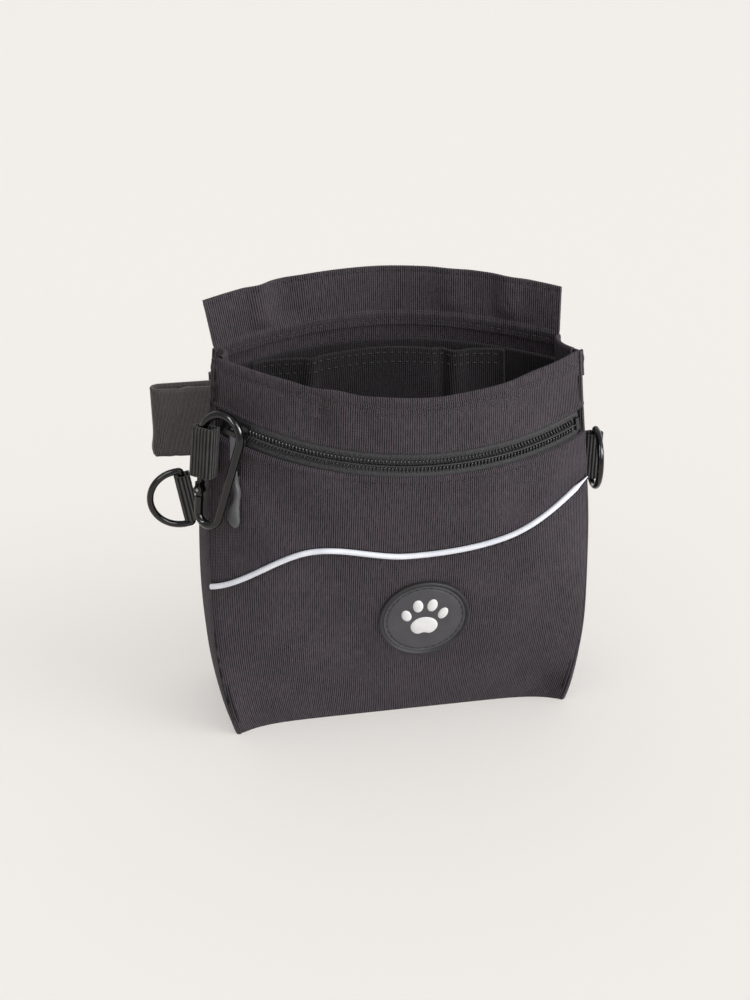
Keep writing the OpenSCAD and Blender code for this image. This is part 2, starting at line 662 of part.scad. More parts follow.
clip_loop_half = clip_wire / 2 + 0.5 + webbing;
clip_loop_left = 5.2;   // how far the loop reaches past the gate's axis
clip_loop_right = 6.4;
module carabiner_loop() {
    color([0.13, 0.13, 0.13]) at_clip() {
        translate([clip_loop_right, 0, 0]) rotate([0, 0, 180])
            webbing_loop(clip_loop_left + clip_loop_right, clip_loop_half);
        translate([clip_past - webbing - 0.2, clip_loop_half - 0.2, -loop_width / 2])
            cube([webbing, clip_off - clip_loop_half - 0.4, loop_width]);
    }
}

// ---- a D-ring in its own frame: bar on the z axis, the D standing out along +x
ring_half = loop_width / 2 + ring_wire / 2 + 0.6;
module d_ring() {
    bend_r = ring_half;
    cylinder(d = ring_wire, h = 2 * ring_half, center = true, $fn = 24);
    for (end = [-1, 1]) translate([0, 0, end * ring_half]) {
        sphere(d = ring_wire, $fn = 24);
        rotate([0, 90, 0]) cylinder(d = ring_wire, h = ring_reach - bend_r, $fn = 24);
    }
    translate([ring_reach - bend_r, 0, 0]) rotate([90, 0, 0]) rotate([0, 0, -90])
        rotate_extrude(angle = 180, $fn = 64) translate([bend_r, 0]) circle(d = ring_wire, $fn = 24);
}
ring_loop_half = ring_wire / 2 + gap + webbing;
left_loop_reach = 7.2;
right_loop_reach = 8.6;
left_bar = 3.6;         // distance of each ring's bar from the loop's sewn end
right_bar = 4.6;
left_ring_tilt = 9;     // droop of the left ring
right_ring_turn = 97;   // turn that folds the right ring forward along the gusset
left_ring_v = (bag_height - left_ring_drop) / bag_height;
right_ring_v = (bag_height - right_ring_drop) / bag_height;
function root(side, middle, v) = [
    side * (gap + max([for (s = [-0.1, 0, 0.1]) for (e = [-1, 0, 1])
        side * gusset(side, middle + s, v + e * loop_width / 2 / bag_height)[0]])),
    gusset(side, middle, v)[1], gusset(side, middle, v)[2]];
left_root = root(-1, 0.35, left_ring_v);
right_root = root(1, 0.45, right_ring_v);
module at_left_ring() {
    translate(left_root - [tan(left_ring_tilt) * loop_width / 2, 0, 0])
        rotate([0, -left_ring_tilt, 0]) rotate([0, 0, 180]) children();
}
module at_right_ring() {
    translate(right_root) children();
}

module left_ring_loop() {
    color([0.13, 0.13, 0.13]) at_left_ring() webbing_loop(left_loop_reach, ring_loop_half);
}

module left_ring() {
    color([0.07, 0.07, 0.08]) at_left_ring() translate([left_bar, 0, 0]) d_ring();
}

module right_ring_loop() {
    color([0.13, 0.13, 0.13]) at_right_ring() webbing_loop(right_loop_reach, ring_loop_half);
}

module right_ring() {
    color([0.07, 0.07, 0.08]) at_right_ring() translate([right_bar, 0, 0])
        rotate([0, 0, -right_ring_turn]) d_ring();
}

// ---- belt: one strip along a path in plan. It runs through the tunnel, folds at the left,
// ---- lies to and fro behind the bag, turns on the buckle's bars and ends in a tail
belt_z = bag_height - belt_drop;
tunnel_half = 58;       // half of the tunnel's length
tunnel_edge = 4;        // seam allowance above and below the belt
function back_at(x, z) = let (v = z / bag_height, u = x / half_width(v)) back(u, v)[1];
function back_most(x) = max([for (k = [-1:0.5:1]) back_at(x, belt_z + k * (belt_width / 2 + tunnel_edge))]);
belt_play = gap + 0.1;
function tunnel_level(x) = back_most(min(tunnel_half, max(-tunnel_half, x)))
    + seam + belt_play + belt_thick / 2;
belt_pitch = belt_thick + 0.7;
stack_start = max([for (x = [-20:5:20]) tunnel_level(x)]) + belt_thick + 2 * belt_play + canvas + 0.6;
band_room = 2.2;        // room in front of the last layer for the adjuster and the keeper
function stack_level(k) = stack_start + k * belt_pitch + (k > 3 ? band_room : 0);
bar_r = 1.6;            // radius of the buckle's bars
bar_turn = bar_r + 0.25 + belt_thick / 2;
buckle_y = stack_level(4) + bar_turn;
tongue_bar = -8;        // place of the tongue's bar
buckle_long = 64;       // distance between the buckle's two bars
socket_bar = tongue_bar + buckle_long;
right_fold = 80;        // where the belt folds at the right
stack_left = -78;       // where the folds behind the bag end
stack_right = 72;
tail_end = -74;
function turn_points(x, y0, y1, side, n) = [for (k = [1:n - 1]) let (a = 180 * k / n)
    [x + side * abs(y1 - y0) / 2 * sin(a), (y0 + y1) / 2 + (y0 - y1) / 2 * cos(a)]];
left_turn_x = -belt_left + (stack_level(0) - tunnel_level(-tunnel_half)) / 2;
belt_path = concat(
    [[socket_bar + 24, buckle_y + bar_turn - belt_thick - 0.1],
     [socket_bar + 10, buckle_y + bar_turn - belt_thick - 0.1], [socket_bar, buckle_y - bar_turn]],
    turn_points(socket_bar, buckle_y - bar_turn, buckle_y + bar_turn, -1, 8),
    [[socket_bar, buckle_y + bar_turn], [right_fold, buckle_y + bar_turn]],
    turn_points(right_fold, buckle_y + bar_turn, tunnel_level(tunnel_half), 1, 12),
    [[right_fold, tunnel_level(tunnel_half)]],
    [for (x = [tunnel_half:-4:-tunnel_half]) [x, tunnel_level(x)]],
    [[left_turn_x, tunnel_level(-tunnel_half)]],
    turn_points(left_turn_x, tunnel_level(-tunnel_half), stack_level(0), -1, 12),
    [[left_turn_x, stack_level(0)], [stack_right, stack_level(0)]],
    turn_points(stack_right, stack_level(0), stack_level(1), 1, 6),
    [[stack_right, stack_level(1)], [stack_left, stack_level(1)]],
    turn_points(stack_left, stack_level(1), stack_level(2), -1, 6),
    [[stack_left, stack_level(2)], [tongue_bar - 6, stack_level(2)]],
    turn_points(tongue_bar - 6, stack_level(2), stack_level(3), 1, 6),
    [[tongue_bar - 6, stack_level(3)], [stack_left, stack_level(3)]],
    turn_points(stack_left, stack_level(3), stack_level(4), -1, 6),
    [[stack_left, stack_level(4)], [tongue_bar, stack_level(4)]],
    turn_points(tongue_bar, stack_level(4), buckle_y + bar_turn, 1, 8),
    [[tongue_bar, buckle_y + bar_turn], [tail_end + 25, buckle_y + bar_turn],
     [tail_end + 15, stack_level(4) + belt_pitch], [tail_end, stack_level(4) + belt_pitch]]);
function path_normal(p, i) = let (
        d = unit(p[min(len(p) - 1, i + 1)] - p[max(0, i - 1)])) [-d[1], d[0]];
function ribbon(p, half) = concat(
    [for (i = [0:len(p) - 1]) p[i] + half * path_normal(p, i)],
    [for (i = [len(p) - 1:-1:0]) p[i] - half * path_normal(p, i)]);
module at_belt_height(high) {
    translate([0, 0, belt_z - high / 2]) linear_extrude(high) children();
}

module waist_belt() {
    color([0.2, 0.19, 0.19]) at_belt_height(belt_width) polygon(ribbon(belt_path, belt_thick / 2));
}

// ---- the tunnel is a canvas sleeve over the belt, sewn to the back above and below it
tunnel_xs = [for (x = [-tunnel_half:4:tunnel_half]) x];
sleeve_inner = belt_thick / 2 + belt_play;
module belt_tunnel() {
    high = belt_width + 2 * gap;
    color([0.15, 0.14, 0.15]) {
        at_belt_height(high + 2 * tunnel_edge) polygon(concat(
            [for (x = tunnel_xs) [x, tunnel_level(x) + sleeve_inner]],
            [for (k = [len(tunnel_xs) - 1:-1:0]) [tunnel_xs[k], tunnel_level(tunnel_xs[k]) + sleeve_inner + canvas]]));
        for (side = [-1, 1]) translate([0, 0, side * (high + tunnel_edge) / 2]) at_belt_height(tunnel_edge)
            polygon(concat(
                [for (x = tunnel_xs) [x, tunnel_level(x) - sleeve_inner]],
                [for (k = [len(tunnel_xs) - 1:-1:0]) [tunnel_xs[k], tunnel_level(tunnel_xs[k]) + sleeve_inner + 0.1]]));
    }
}

// ---- side-release buckle: x along the strap, the socket to the right of its mouth at 0
buckle_high = belt_width + 9;
buckle_thick = 9;
arm = (buckle_high - belt_width) / 2 - 0.6;
wall = 1.8;
mouth_x = tongue_bar + 24;
module at_buckle() {
    translate([mouth_x, buckle_y, belt_z]) children();
}
module soft_block(x0, x1, thick, high, r) {
    rotate([90, 0, 0]) translate([0, 0, -thick / 2]) linear_extrude(thick) {
        translate([x0 + r, -high / 2]) square([x1 - x0 - 2 * r, high]);
        translate([x0, -high / 2 + r]) square([x1 - x0, high - 2 * r]);
        for (x = [x0 + r, x1 - r]) for (z = [-high / 2 + r, high / 2 - r]) translate([x, z]) circle(r, $fn = 32);
    }
}
module bar_arms(from, bar_x, wide) {
    for (side = [-1, 1]) translate([min(from, bar_x), -wide / 2, side > 0 ? buckle_high / 2 - arm : -buckle_high / 2])
        cube([abs(bar_x - from), wide, arm]);
    for (side = [-1, 1]) translate([bar_x, 0, side * (buckle_high / 2 - arm / 2)])
        cylinder(d = wide, h = arm, center = true, $fn = 32);
    translate([bar_x, 0, 0]) cylinder(r = bar_r, h = buckle_high - arm, center = true, $fn = 32);
}
socket_end = socket_bar - mouth_x - bar_turn - belt_thick - 1;
prong_long = 22;
prong_out = buckle_high / 2 - 1.2;
module buckle_socket() {
    color([0.08, 0.08, 0.08]) at_buckle() {
        difference() {
            soft_block(0, socket_end, buckle_thick, buckle_high, 3);
            translate([-1, -buckle_thick / 2 + wall, -buckle_high / 2 + wall + 2])
                cube([socket_end - 2, buckle_thick - 2 * wall, buckle_high - 2 * wall - 4]);
            for (side = [-1, 1]) translate([9, -buckle_thick / 2 + wall, side > 0 ? prong_out - 4 : -buckle_high])
                cube([12, buckle_thick - 2 * wall, buckle_high - prong_out + 4]);
        }
        bar_arms(socket_end - 2, socket_bar - mouth_x, 4);
    }
}

module buckle_tongue() {
    inner = buckle_thick - 2 * wall - 2 * gap;
    color([0.09, 0.09, 0.09]) at_buckle() {
        translate([-16, -buckle_thick / 2, -buckle_high / 2]) cube([16 - gap, buckle_thick, buckle_high]);
        translate([-1, -inner / 2, -3]) cube([prong_long - 2, inner, 6]);
        for (side = [-1, 1]) {
            translate([-1, -inner / 2, side > 0 ? prong_out - 8 : -prong_out + 4]) cube([prong_long - 5, inner, 4]);
            translate([10, -inner / 2, side > 0 ? prong_out - 8 : -prong_out]) cube([10, inner, 8]);
        }
        bar_arms(-15, tongue_bar - mouth_x, 4);
    }
}

// ---- a band around the two layers of the belt's tail
module strap_band(x0, x1, low, high, wall_y, wall_z, bar) {
    translate([x0, 0, belt_z]) rotate([0, 90, 0]) linear_extrude(x1 - x0) {
        difference() {
            translate([-belt_width / 2 - gap - wall_z, low - gap - wall_y])
                square([belt_width + 2 * gap + 2 * wall_z, high - low + 2 * gap + 2 * wall_y]);
            translate([-belt_width / 2 - gap, low - gap]) square([belt_width + 2 * gap, high - low + 2 * gap]);
        }
        if (bar > 0) translate([-belt_width / 2 - gap - 0.5, (low + high - bar) / 2])
            square([belt_width + 2 * gap + 1, bar]);
    }
}
strap_low = stack_level(4) - belt_thick / 2;
module belt_adjuster() {
    color([0.08, 0.08, 0.08])
    strap_band(-36, -26, strap_low, buckle_y + bar_turn + belt_thick / 2, 1.6, 3, 2.2);
}

module belt_keeper() {
    color([0.12, 0.12, 0.12])
    strap_band(tail_end + 2, tail_end + 12, strap_low, stack_level(4) + belt_pitch + belt_thick / 2, 1, 1.2, 0);
}

front_upper_panel();
front_middle_panel();
front_lower_panel();
left_gusset();
right_gusset();
back_panel();
bottom_panel();
base_board();
front_lining();
back_lining();
left_lining();
right_lining();
bottom_lining();
zip_pocket_backing();
inner_pocket();
flap_outer();
flap_facing();
reflective_piping();
rubber_badge();
badge_emblem();
upper_zip_tape();
lower_zip_tape();
upper_zip_coil();
lower_zip_coil();
zip_end_stops();
zip_slider();
zip_pull_tab();
rubber_pull();
carabiner_loop();
carabiner_body();
carabiner_gate();
gate_pin();
left_ring_loop();
left_ring();
right_ring_loop();
right_ring();
belt_tunnel();
waist_belt();
buckle_socket();
buckle_tongue();
belt_adjuster();
belt_keeper();
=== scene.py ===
"""A canvas treat pouch that stands open: sewn panels, curved zip, badge, hardware and folded belt."""

import json
import math

import bmesh
import bpy
from mathutils import Matrix, Vector, noise


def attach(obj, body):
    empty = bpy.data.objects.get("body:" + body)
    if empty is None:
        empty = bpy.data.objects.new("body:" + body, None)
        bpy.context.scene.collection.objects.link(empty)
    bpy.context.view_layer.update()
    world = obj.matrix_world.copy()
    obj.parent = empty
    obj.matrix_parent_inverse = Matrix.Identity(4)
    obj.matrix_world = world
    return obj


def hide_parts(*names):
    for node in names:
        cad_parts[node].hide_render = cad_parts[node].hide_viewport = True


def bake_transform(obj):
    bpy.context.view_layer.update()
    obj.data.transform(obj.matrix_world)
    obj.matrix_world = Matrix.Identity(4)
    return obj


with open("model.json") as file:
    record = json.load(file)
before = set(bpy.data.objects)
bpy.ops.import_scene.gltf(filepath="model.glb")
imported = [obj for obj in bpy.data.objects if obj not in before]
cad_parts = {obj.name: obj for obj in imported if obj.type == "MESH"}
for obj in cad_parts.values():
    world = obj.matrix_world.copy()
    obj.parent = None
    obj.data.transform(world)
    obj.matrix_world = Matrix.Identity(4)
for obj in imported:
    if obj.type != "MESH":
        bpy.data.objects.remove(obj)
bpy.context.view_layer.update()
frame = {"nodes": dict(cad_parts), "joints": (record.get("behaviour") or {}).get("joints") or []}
nodes = frame["nodes"]
MM = 0.001

# ---------------------------------------------------------------- sizes of the bag, in millimetres
BASE_WIDTH, BASE_DEPTH, BAG_HEIGHT, MOUTH_WIDTH = 160, 62, 180, 161
SIDE_SWELL, FRONT_BOW, BACK_BOW, BELLY = 9, 31, 22, 3
RIM_SAG, RIM_ARCH, LEFT_PINCH, RIGHT_PINCH, MOUTH_TWIST = 9, 6, 13, 21, 14
MOUTH_FORWARD, RIGHT_INSET, BASE_BOW, BASE_DRAW = 3, 3, 4, 7
FLAP_HEIGHT, FLAP_LEAN, FLAP_FLARE = 22, 1.5, 0.045
CANVAS, HEM = 1.2, 12
ZIP_DROP, ZIP_TILT, ZIP_OFFSET, ZIP_REACH = 31, 19.6, 11, 0.22
CHAIN_DEPTH, CHAIN_MID, WELT = 2.2, -0.6, 5.4
SEAM_HEIGHTS = (0.425, 0.566, 0.548, 0.578, 0.667)
BADGE_D, BADGE_HEIGHT, BADGE_OFFSET = 43, 57, 8.5


def mix(a, b, t):
    return a + (b - a) * t


def smooth(t):
    t = min(1, max(0, t))
    return t * t * (3 - 2 * t)


def ease(v):
    return mix(v, smooth(v), 0.5)


def hump(x, middle, reach):
    """1 at the middle and 0 from reach away, smooth all the way."""
    return max(0, 1 - ((x - middle) / reach) ** 2) ** 2


# ---------------------------------------------------------------- the bag's surfaces
# u runs from -1 at the left seam to 1 at the right one, v from 0 at the base to 1 at the rim.
LEFT_FRONT = -MOUTH_FORWARD + MOUTH_TWIST / 2 - LEFT_PINCH / 2
RIGHT_FRONT = -MOUTH_FORWARD - MOUTH_TWIST / 2 - RIGHT_PINCH / 2
BASE_EDGE = BASE_DEPTH / 2


def half_width(v):
    return mix(BASE_WIDTH, MOUTH_WIDTH, v) / 2 + SIDE_SWELL * math.sin(math.pi * max(0, min(1, v)) ** 0.7)


def fullness(u, v):
    return 1 - min(1, abs(u)) ** mix(8, 1.8, max(0, v) ** 0.7)


def seam_y(u, v, at_base, at_left, at_right):
    return mix(at_base, mix(at_left, at_right, (u + 1) / 2), ease(v))


def front_height(u):
    return BAG_HEIGHT - RIM_SAG * (1 - u * u)


def back_height(u):
    return BAG_HEIGHT + RIM_ARCH * (1 - u * u)


def front_raw(u, v):
    bow = mix(-BASE_DRAW, FRONT_BOW, ease(v)) + BELLY * math.sin(math.pi * v)
    y = seam_y(u, v, -BASE_EDGE, LEFT_FRONT, RIGHT_FRONT) - bow * fullness(u, v)
    return Vector((half_width(v) * u, y, v * front_height(u)))


def back(u, v):
    y = seam_y(u, v, BASE_EDGE - BASE_BOW, LEFT_FRONT + LEFT_PINCH, RIGHT_FRONT + RIGHT_PINCH)
    y += mix(BASE_BOW, BACK_BOW, ease(v)) * fullness(u, v)
    return Vector((half_width(v) * u - max(0, u) * RIGHT_INSET * v, y, v * back_height(u)))


ZIP_Z = BAG_HEIGHT - RIM_SAG - ZIP_DROP
ZIP_V0 = ZIP_Z / (BAG_HEIGHT - RIM_SAG)
ZIP_SAG = FRONT_BOW - 3
ZIP_RADIUS = ((MOUTH_WIDTH / 2) ** 2 + ZIP_SAG**2) / (2 * ZIP_SAG)
TILT = math.radians(ZIP_TILT)
ZIP_CENTRE = Vector((
    ZIP_OFFSET,
    front_raw(ZIP_OFFSET / half_width(ZIP_V0), ZIP_V0).y + ZIP_RADIUS * math.cos(TILT),
    ZIP_Z + ZIP_RADIUS * math.sin(TILT)))


def zip_arc(x):
    c = math.sqrt(ZIP_RADIUS**2 - (x - ZIP_OFFSET) ** 2)
    return ZIP_CENTRE.y - c * math.cos(TILT), ZIP_CENTRE.z - c * math.sin(TILT)


def zip_v(u):
    v = ZIP_V0
    for _ in range(3):
        v = zip_arc(half_width(v) * u)[1] / front_height(u)
    return v


def front(u, v):
    z = zip_v(u)
    miss = zip_arc(half_width(z) * u)[0] - front_raw(u, z).y
    return front_raw(u, v) + Vector((0, miss * hump(v, z, ZIP_REACH), 0))


def gusset(side, s, v, tuck=4):
    p = front(side, v).lerp(back(side, v), s)
    p.x += side * mix(3, -tuck, smooth(2 * v - 1)) * 4 * s * (1 - s)
    return p


def seam_v(u):
    t = (u + 1) / 2 * (len(SEAM_HEIGHTS) - 1)
    i = min(len(SEAM_HEIGHTS) - 2, int(t))
    f = t - i
    a, b = SEAM_HEIGHTS[max(0, i - 1)], SEAM_HEIGHTS[i]
    c, d = SEAM_HEIGHTS[i + 1], SEAM_HEIGHTS[min(len(SEAM_HEIGHTS) - 1, i + 2)]
    return b + f * ((c - a) / 2 + f * ((a - 2.5 * b + 2 * c - d / 2) + f * (1.5 * (b - c) + (d - a) / 2)))


def flap(u, t):
    p = back(u, 1)
    flare = u * MOUTH_WIDTH / 2 * FLAP_FLARE * t if u < 0 else 0
    return p + Vector((flare, FLAP_LEAN * t, 0.4 + (FLAP_HEIGHT - 0.4) * t))


def normal(f, s, t, step=0.004, start=0.0):
    """The unit normal of f at (s, t); s is held between start and 1."""
    a = f(min(1, s + step), t) - f(max(start, s - step), t)
    b = f(s, t + step) - f(s, t - step)
    return a.cross(b).normalized()


def ripple(x, y, scale, seed):
    return noise.noise(Vector((x / scale, y / scale, seed)))


# ---------------------------------------------------------------- materials
def linear(hex_colour):
    """An sRGB colour written as #rrggbb, as linear RGBA."""
    values = [int(hex_colour[i:i + 2], 16) / 255 for i in (1, 3, 5)]
    return [v / 12.92 if v <= 0.04045 else ((v + 0.055) / 1.055) ** 2.4 for v in values] + [1]


def add(tree, kind, inputs=(), **settings):
    """Adds one node, sets it up and fills its inputs with values or with other nodes' outputs."""
    n = tree.nodes.new("ShaderNode" + kind)
    for key, value in settings.items():
        setattr(n, key, value)
    for key, value in dict(inputs).items():
        if isinstance(value, bpy.types.NodeSocket):
            tree.links.new(value, n.inputs[key])
        else:
            n.inputs[key].default_value = value
    return n


def shader(name, roughness, **values):
    """A new material with its Principled shader, whose constant values are set on its own sockets."""
    material = bpy.data.materials.new(name)
    material.use_nodes = True
    tree = material.node_tree
    tree.nodes.clear()
    surface = add(tree, "BsdfPrincipled", {"Roughness": roughness})
    for key, value in values.items():
        surface.inputs[key.replace("_", " ")].default_value = value
    output = add(tree, "OutputMaterial")
    tree.links.new(surface.outputs[0], output.inputs[0])
    return material, tree, surface


def math_node(tree, operation, a, b=0.0):
    return add(tree, "Math", {0: a, 1: b}, operation=operation).outputs[0]


def wave(tree, coordinate, pitch):
    """Threads of one pitch, in metres, as a height from 0 to 1."""
    turned = math_node(tree, "MULTIPLY", coordinate, 2 * math.pi / pitch)
    height = math_node(tree, "SINE", turned)
    return add(tree, "Math", {0: height, 1: 0.5, 2: 0.5}, operation="MULTIPLY_ADD").outputs[0]


def colour_ramp(tree, value, low, high, start=0.0, end=1.0):
    ramp = add(tree, "ValToRGB", {"Fac": value})
    ramp.color_ramp.elements[0].position, ramp.color_ramp.elements[1].position = start, end
    ramp.color_ramp.elements[0].color, ramp.color_ramp.elements[1].color = linear(low), linear(high)
    return ramp.outputs[0]


def woven(name, low, high, rib, pick, depth, roughness=0.85, sheen=0.06, patches=1.0):
    """Woven cloth in its own UV metres: ribs of one pitch run up it, picks of another cross them."""
    material, tree, surface = shader(
        name, roughness, Sheen_Weight=sheen, Sheen_Roughness=0.5, Specular_IOR_Level=0.18)
    uv = add(tree, "UVMap", uv_map="cloth").outputs[0]
    split = add(tree, "SeparateXYZ", {0: uv})
    ribs = wave(tree, split.outputs[0], rib)
    picks = wave(tree, split.outputs[1], pick)
    stretched = add(tree, "Mapping", {"Vector": uv, "Scale": (1.0, 0.35, 1.0)}).outputs[0]
    slub = add(tree, "TexNoise", {"Vector": stretched, "Scale": 1 / (rib * 1.4), "Detail": 3.0}).outputs[0]
    worn = add(tree, "TexNoise", {"Vector": uv, "Scale": 38.0, "Detail": 4.0}).outputs[0]
    threads = add(tree, "Math", {0: picks, 1: 0.4, 2: 0.6}, operation="MULTIPLY_ADD").outputs[0]
    height = math_node(tree, "MULTIPLY", ribs, threads)
    height = add(tree, "Math", {0: slub, 1: 0.7, 2: height}, operation="MULTIPLY_ADD").outputs[0]
    shade = add(tree, "Math", {0: worn, 1: 0.5 * patches, 2: height}, operation="MULTIPLY_ADD").outputs[0]
    tree.links.new(colour_ramp(tree, shade, low, high, 0.62, 1.38), surface.inputs["Base Color"])
    bump = add(tree, "Bump", {"Height": height, "Strength": 1.0, "Distance": depth})
    tree.links.new(bump.outputs[0], surface.inputs["Normal"])
    return material


def grained(name, low, high, roughness, grain, depth, scale_rough=0.12, **values):
    """A moulded, enamelled or plated surface with fine grain, in object metres."""
    material, tree, surface = shader(name, roughness, **values)
    place = add(tree, "TexCoord").outputs["Object"]
    fine = add(tree, "TexNoise", {"Vector": place, "Scale": 1 / grain, "Detail": 4.0}).outputs[0]
    broad = add(tree, "TexNoise", {"Vector": place, "Scale": 120.0, "Detail": 3.0}).outputs[0]
    tree.links.new(colour_ramp(tree, broad, low, high, 0.3, 0.7), surface.inputs["Base Color"])
    rough = add(tree, "Math", {0: fine, 1: scale_rough, 2: roughness - scale_rough / 2},
                operation="MULTIPLY_ADD")
    tree.links.new(rough.outputs[0], surface.inputs["Roughness"])
    bump = add(tree, "Bump", {"Height": fine, "Strength": 0.5, "Distance": depth})
    tree.links.new(bump.outputs[0], surface.inputs["Normal"])
    return material


canvas = woven("ribbed_polyester_canvas", "#000000", "#4d464c", 0.00098, 0.0009, 0.00026)
facing = woven("ribbed_canvas_facing", "#000000", "#4c454b", 0.00098, 0.0009, 0.00026)
# the inside copy is the outer canvas made darker: its extra darkness is painted shade for the inside of the bag
inside = woven("ribbed_canvas_inside_painted_shade", "#000000", "#302c2f", 0.00098, 0.0009, 0.00026)
tape = woven("woven_zip_tape", "#242424", "#565658", 0.0005, 0.0007, 0.00006, 0.7, 0.1, 0.4)
loop_web = woven("ribbed_loop_webbing", "#000000", "#4a4847", 0.0016, 0.0006, 0.0005, 0.75, 0.1, 0.3)
belt_web = woven("soft_belt_webbing", "#1d1a1a", "#5a5453", 0.0006, 0.0011, 0.00012, 0.7, 0.15, 0.6)
thread = grained("bonded_nylon_thread", "#151415", "#2a292a", 0.5, 0.0003, 0.00005)
reflective = grained("reflective_piping_skin", "#dcdfe9", "#eef0f6", 0.42, 0.0004, 0.00004,
                    Specular_IOR_Level=0.4)
nylon = grained("coil_nylon", "#101011", "#1c1c1d", 0.3, 0.0004, 0.00002, Specular_IOR_Level=0.6)
badge_face = grained("badge_rubber_face", "#3d3c40", "#48474b", 0.62, 0.0003, 0.00004)
badge_edge = grained("badge_rubber_edge", "#1e1d1f", "#262527", 0.6, 0.0003, 0.00004)
emblem_white = grained("emblem_rubber_white", "#dcdcdc", "#ebebeb", 0.55, 0.0003, 0.00003)
grip_rubber = grained("pull_rubber_grey", "#48484a", "#5a5a5c", 0.55, 0.0004, 0.00005)
enamel = grained("gloss_black_enamel", "#010101", "#030303", 0.16, 0.0006, 0.00001, 0.04,
                 Specular_IOR_Level=0.35, Coat_Weight=0.35, Coat_Roughness=0.08)
nickel = grained("dark_nickel_plate", "#55555a", "#6d6d72", 0.28, 0.0004, 0.00002, 0.1, Metallic=1.0)
slider_black = grained("black_slider_enamel", "#111112", "#1a1a1b", 0.3, 0.0004, 0.00002)
steel = grained("plain_steel_pin", "#8d8d90", "#a5a5a8", 0.3, 0.0004, 0.00002, Metallic=1.0)
acetal = grained("black_acetal", "#121213", "#1b1b1c", 0.42, 0.0003, 0.00004)
board_plastic = grained("base_board_plastic", "#2a2a2c", "#353538", 0.6, 0.0004, 0.00004)


# ---------------------------------------------------------------- making pieces
def piece(bm, name, material, body, levels=0, thick=0.0, offset=-1.0):
    """A bmesh in millimetres becomes a finished piece in metres that rides on its body."""
    bmesh.ops.scale(bm, vec=(MM, MM, MM), verts=bm.verts)
    mesh = bpy.data.meshes.new(name)
    bm.to_mesh(mesh)
    bm.free()
    made = bpy.data.objects.new(name, mesh)
    bpy.context.scene.collection.objects.link(made)
    if thick:
        wall = made.modifiers.new("wall", "SOLIDIFY")
        wall.thickness, wall.offset = thick * MM, offset
    if levels:
        soft = made.modifiers.new("soft", "SUBSURF")
        soft.levels = soft.render_levels = levels
    if thick or levels:
        shown = made.evaluated_get(bpy.context.evaluated_depsgraph_get())
        made.data = bpy.data.meshes.new_from_object(shown)
        made.modifiers.clear()
    made.data.name = name
    made.data.materials.clear()
    made.data.materials.append(material)
    made.data.shade_smooth()
    if body:
        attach(made, body)
    return made


def crowd(t, share=0.6):
    """Moves grid lines towards both ends, where the cloth turns."""
    return mix(t, 0.5 - 0.5 * math.cos(math.pi * t), share)


def lengths(points):
    """How far along it each point of a line is."""
    total = [0.0]
    for a, b in zip(points, points[1:]):
        total.append(total[-1] + (b - a).length)
    return total


def drape(surface, cols, rows, relief=None):
    """A grid laid on a surface f(s, t), pushed out by relief(s, t, point), with its UV in metres."""
    bm = bmesh.new()
    bmesh.ops.create_grid(bm, x_segments=cols, y_segments=rows, size=0.5)
    across = lengths([surface(crowd(i / cols), 0.5) for i in range(cols + 1)])
    up = lengths([surface(0.5, crowd(j / rows)) for j in range(rows + 1)])
    places = {}
    for vert in bm.verts:
        i, j = round((vert.co.x + 0.5) * cols), round((vert.co.y + 0.5) * rows)
        s, t = crowd(i / cols), crowd(j / rows)
        p = surface(s, t)
        if relief:
            p = p + normal(surface, s, t) * relief(s, t, p)
        vert.co = p
        places[vert] = (across[i] * MM, up[j] * MM)
    uv = bm.loops.layers.uv.new("cloth")
    for face in bm.faces:
        for loop in face.loops:
            loop[uv].uv = places[loop.vert]
    return bm


def declare_sheet(made, held, area=None):
    """Takes what a cloth piece was cut to, in millimetres, before it was sewn in, but keeps none of it: the area
    is worked out and dropped, and the piece comes back unchanged.
    """
    area = area * MM * MM if area else None
    return made


def stitch_row(name, places, body, length=2.5, pitch=3.3, width=0.5, material=None):
    """Stitches along a line of (point, outward normal) places, each a small flattened bead of thread."""
    run = lengths([p for p, _ in places])
    bm = bmesh.new()
    k, at = 0, pitch / 2
    while at < run[-1] - pitch / 2:
        while run[k + 1] < at:
            k += 1
        f = (at - run[k]) / (run[k + 1] - run[k])
        centre = places[k][0].lerp(places[k + 1][0], f)
        out = places[k][1]
        along = (places[k + 1][0] - places[k][0]).normalized()
        side = out.cross(along).normalized()
        turn = Matrix((along, side, along.cross(side))).transposed().to_4x4()
        size = Matrix.Diagonal((length / 2, width / 2, width / 2.6, 1))
        bmesh.ops.create_uvsphere(
            bm, u_segments=6, v_segments=4, radius=1,
            matrix=Matrix.Translation(centre) @ turn @ size)
        at += pitch
    return piece(bm, name, material or thread, body)


def tube(name, points, radius, material, body, radii=None, closed=False):
    """A round cord or wire along points, in millimetres, made from a curve and turned into a mesh."""
    curve = bpy.data.curves.new(name, "CURVE")
    curve.dimensions = "3D"
    curve.bevel_depth, curve.bevel_resolution, curve.use_fill_caps = radius * MM, 5, True
    spline = curve.splines.new("POLY")
    spline.points.add(len(points) - 1)
    for k, p in enumerate(points):
        spline.points[k].co = (*(p * MM), 1)
        spline.points[k].radius = radii[k] if radii else 1
    spline.use_cyclic_u = closed
    bend = bpy.data.objects.new(name + "_line", curve)
    bpy.context.scene.collection.objects.link(bend)
    mesh = bpy.data.meshes.new_from_object(bend.evaluated_get(bpy.context.evaluated_depsgraph_get()))
    bpy.data.objects.remove(bend)
    made = bpy.data.objects.new(name, mesh)
    bpy.context.scene.collection.objects.link(made)
    mesh.materials.clear()
    mesh.materials.append(material)
    mesh.shade_smooth()
    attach(made, body)
    return made


# ---------------------------------------------------------------- front: three panels between folded edges
def frill(x, z):
    """Soft swells and dents of the standing cloth, in millimetres."""
    return 0.9 * ripple(x, z, 46, 3.1) + 0.45 * ripple(x, z * 0.6, 19, 7.7)


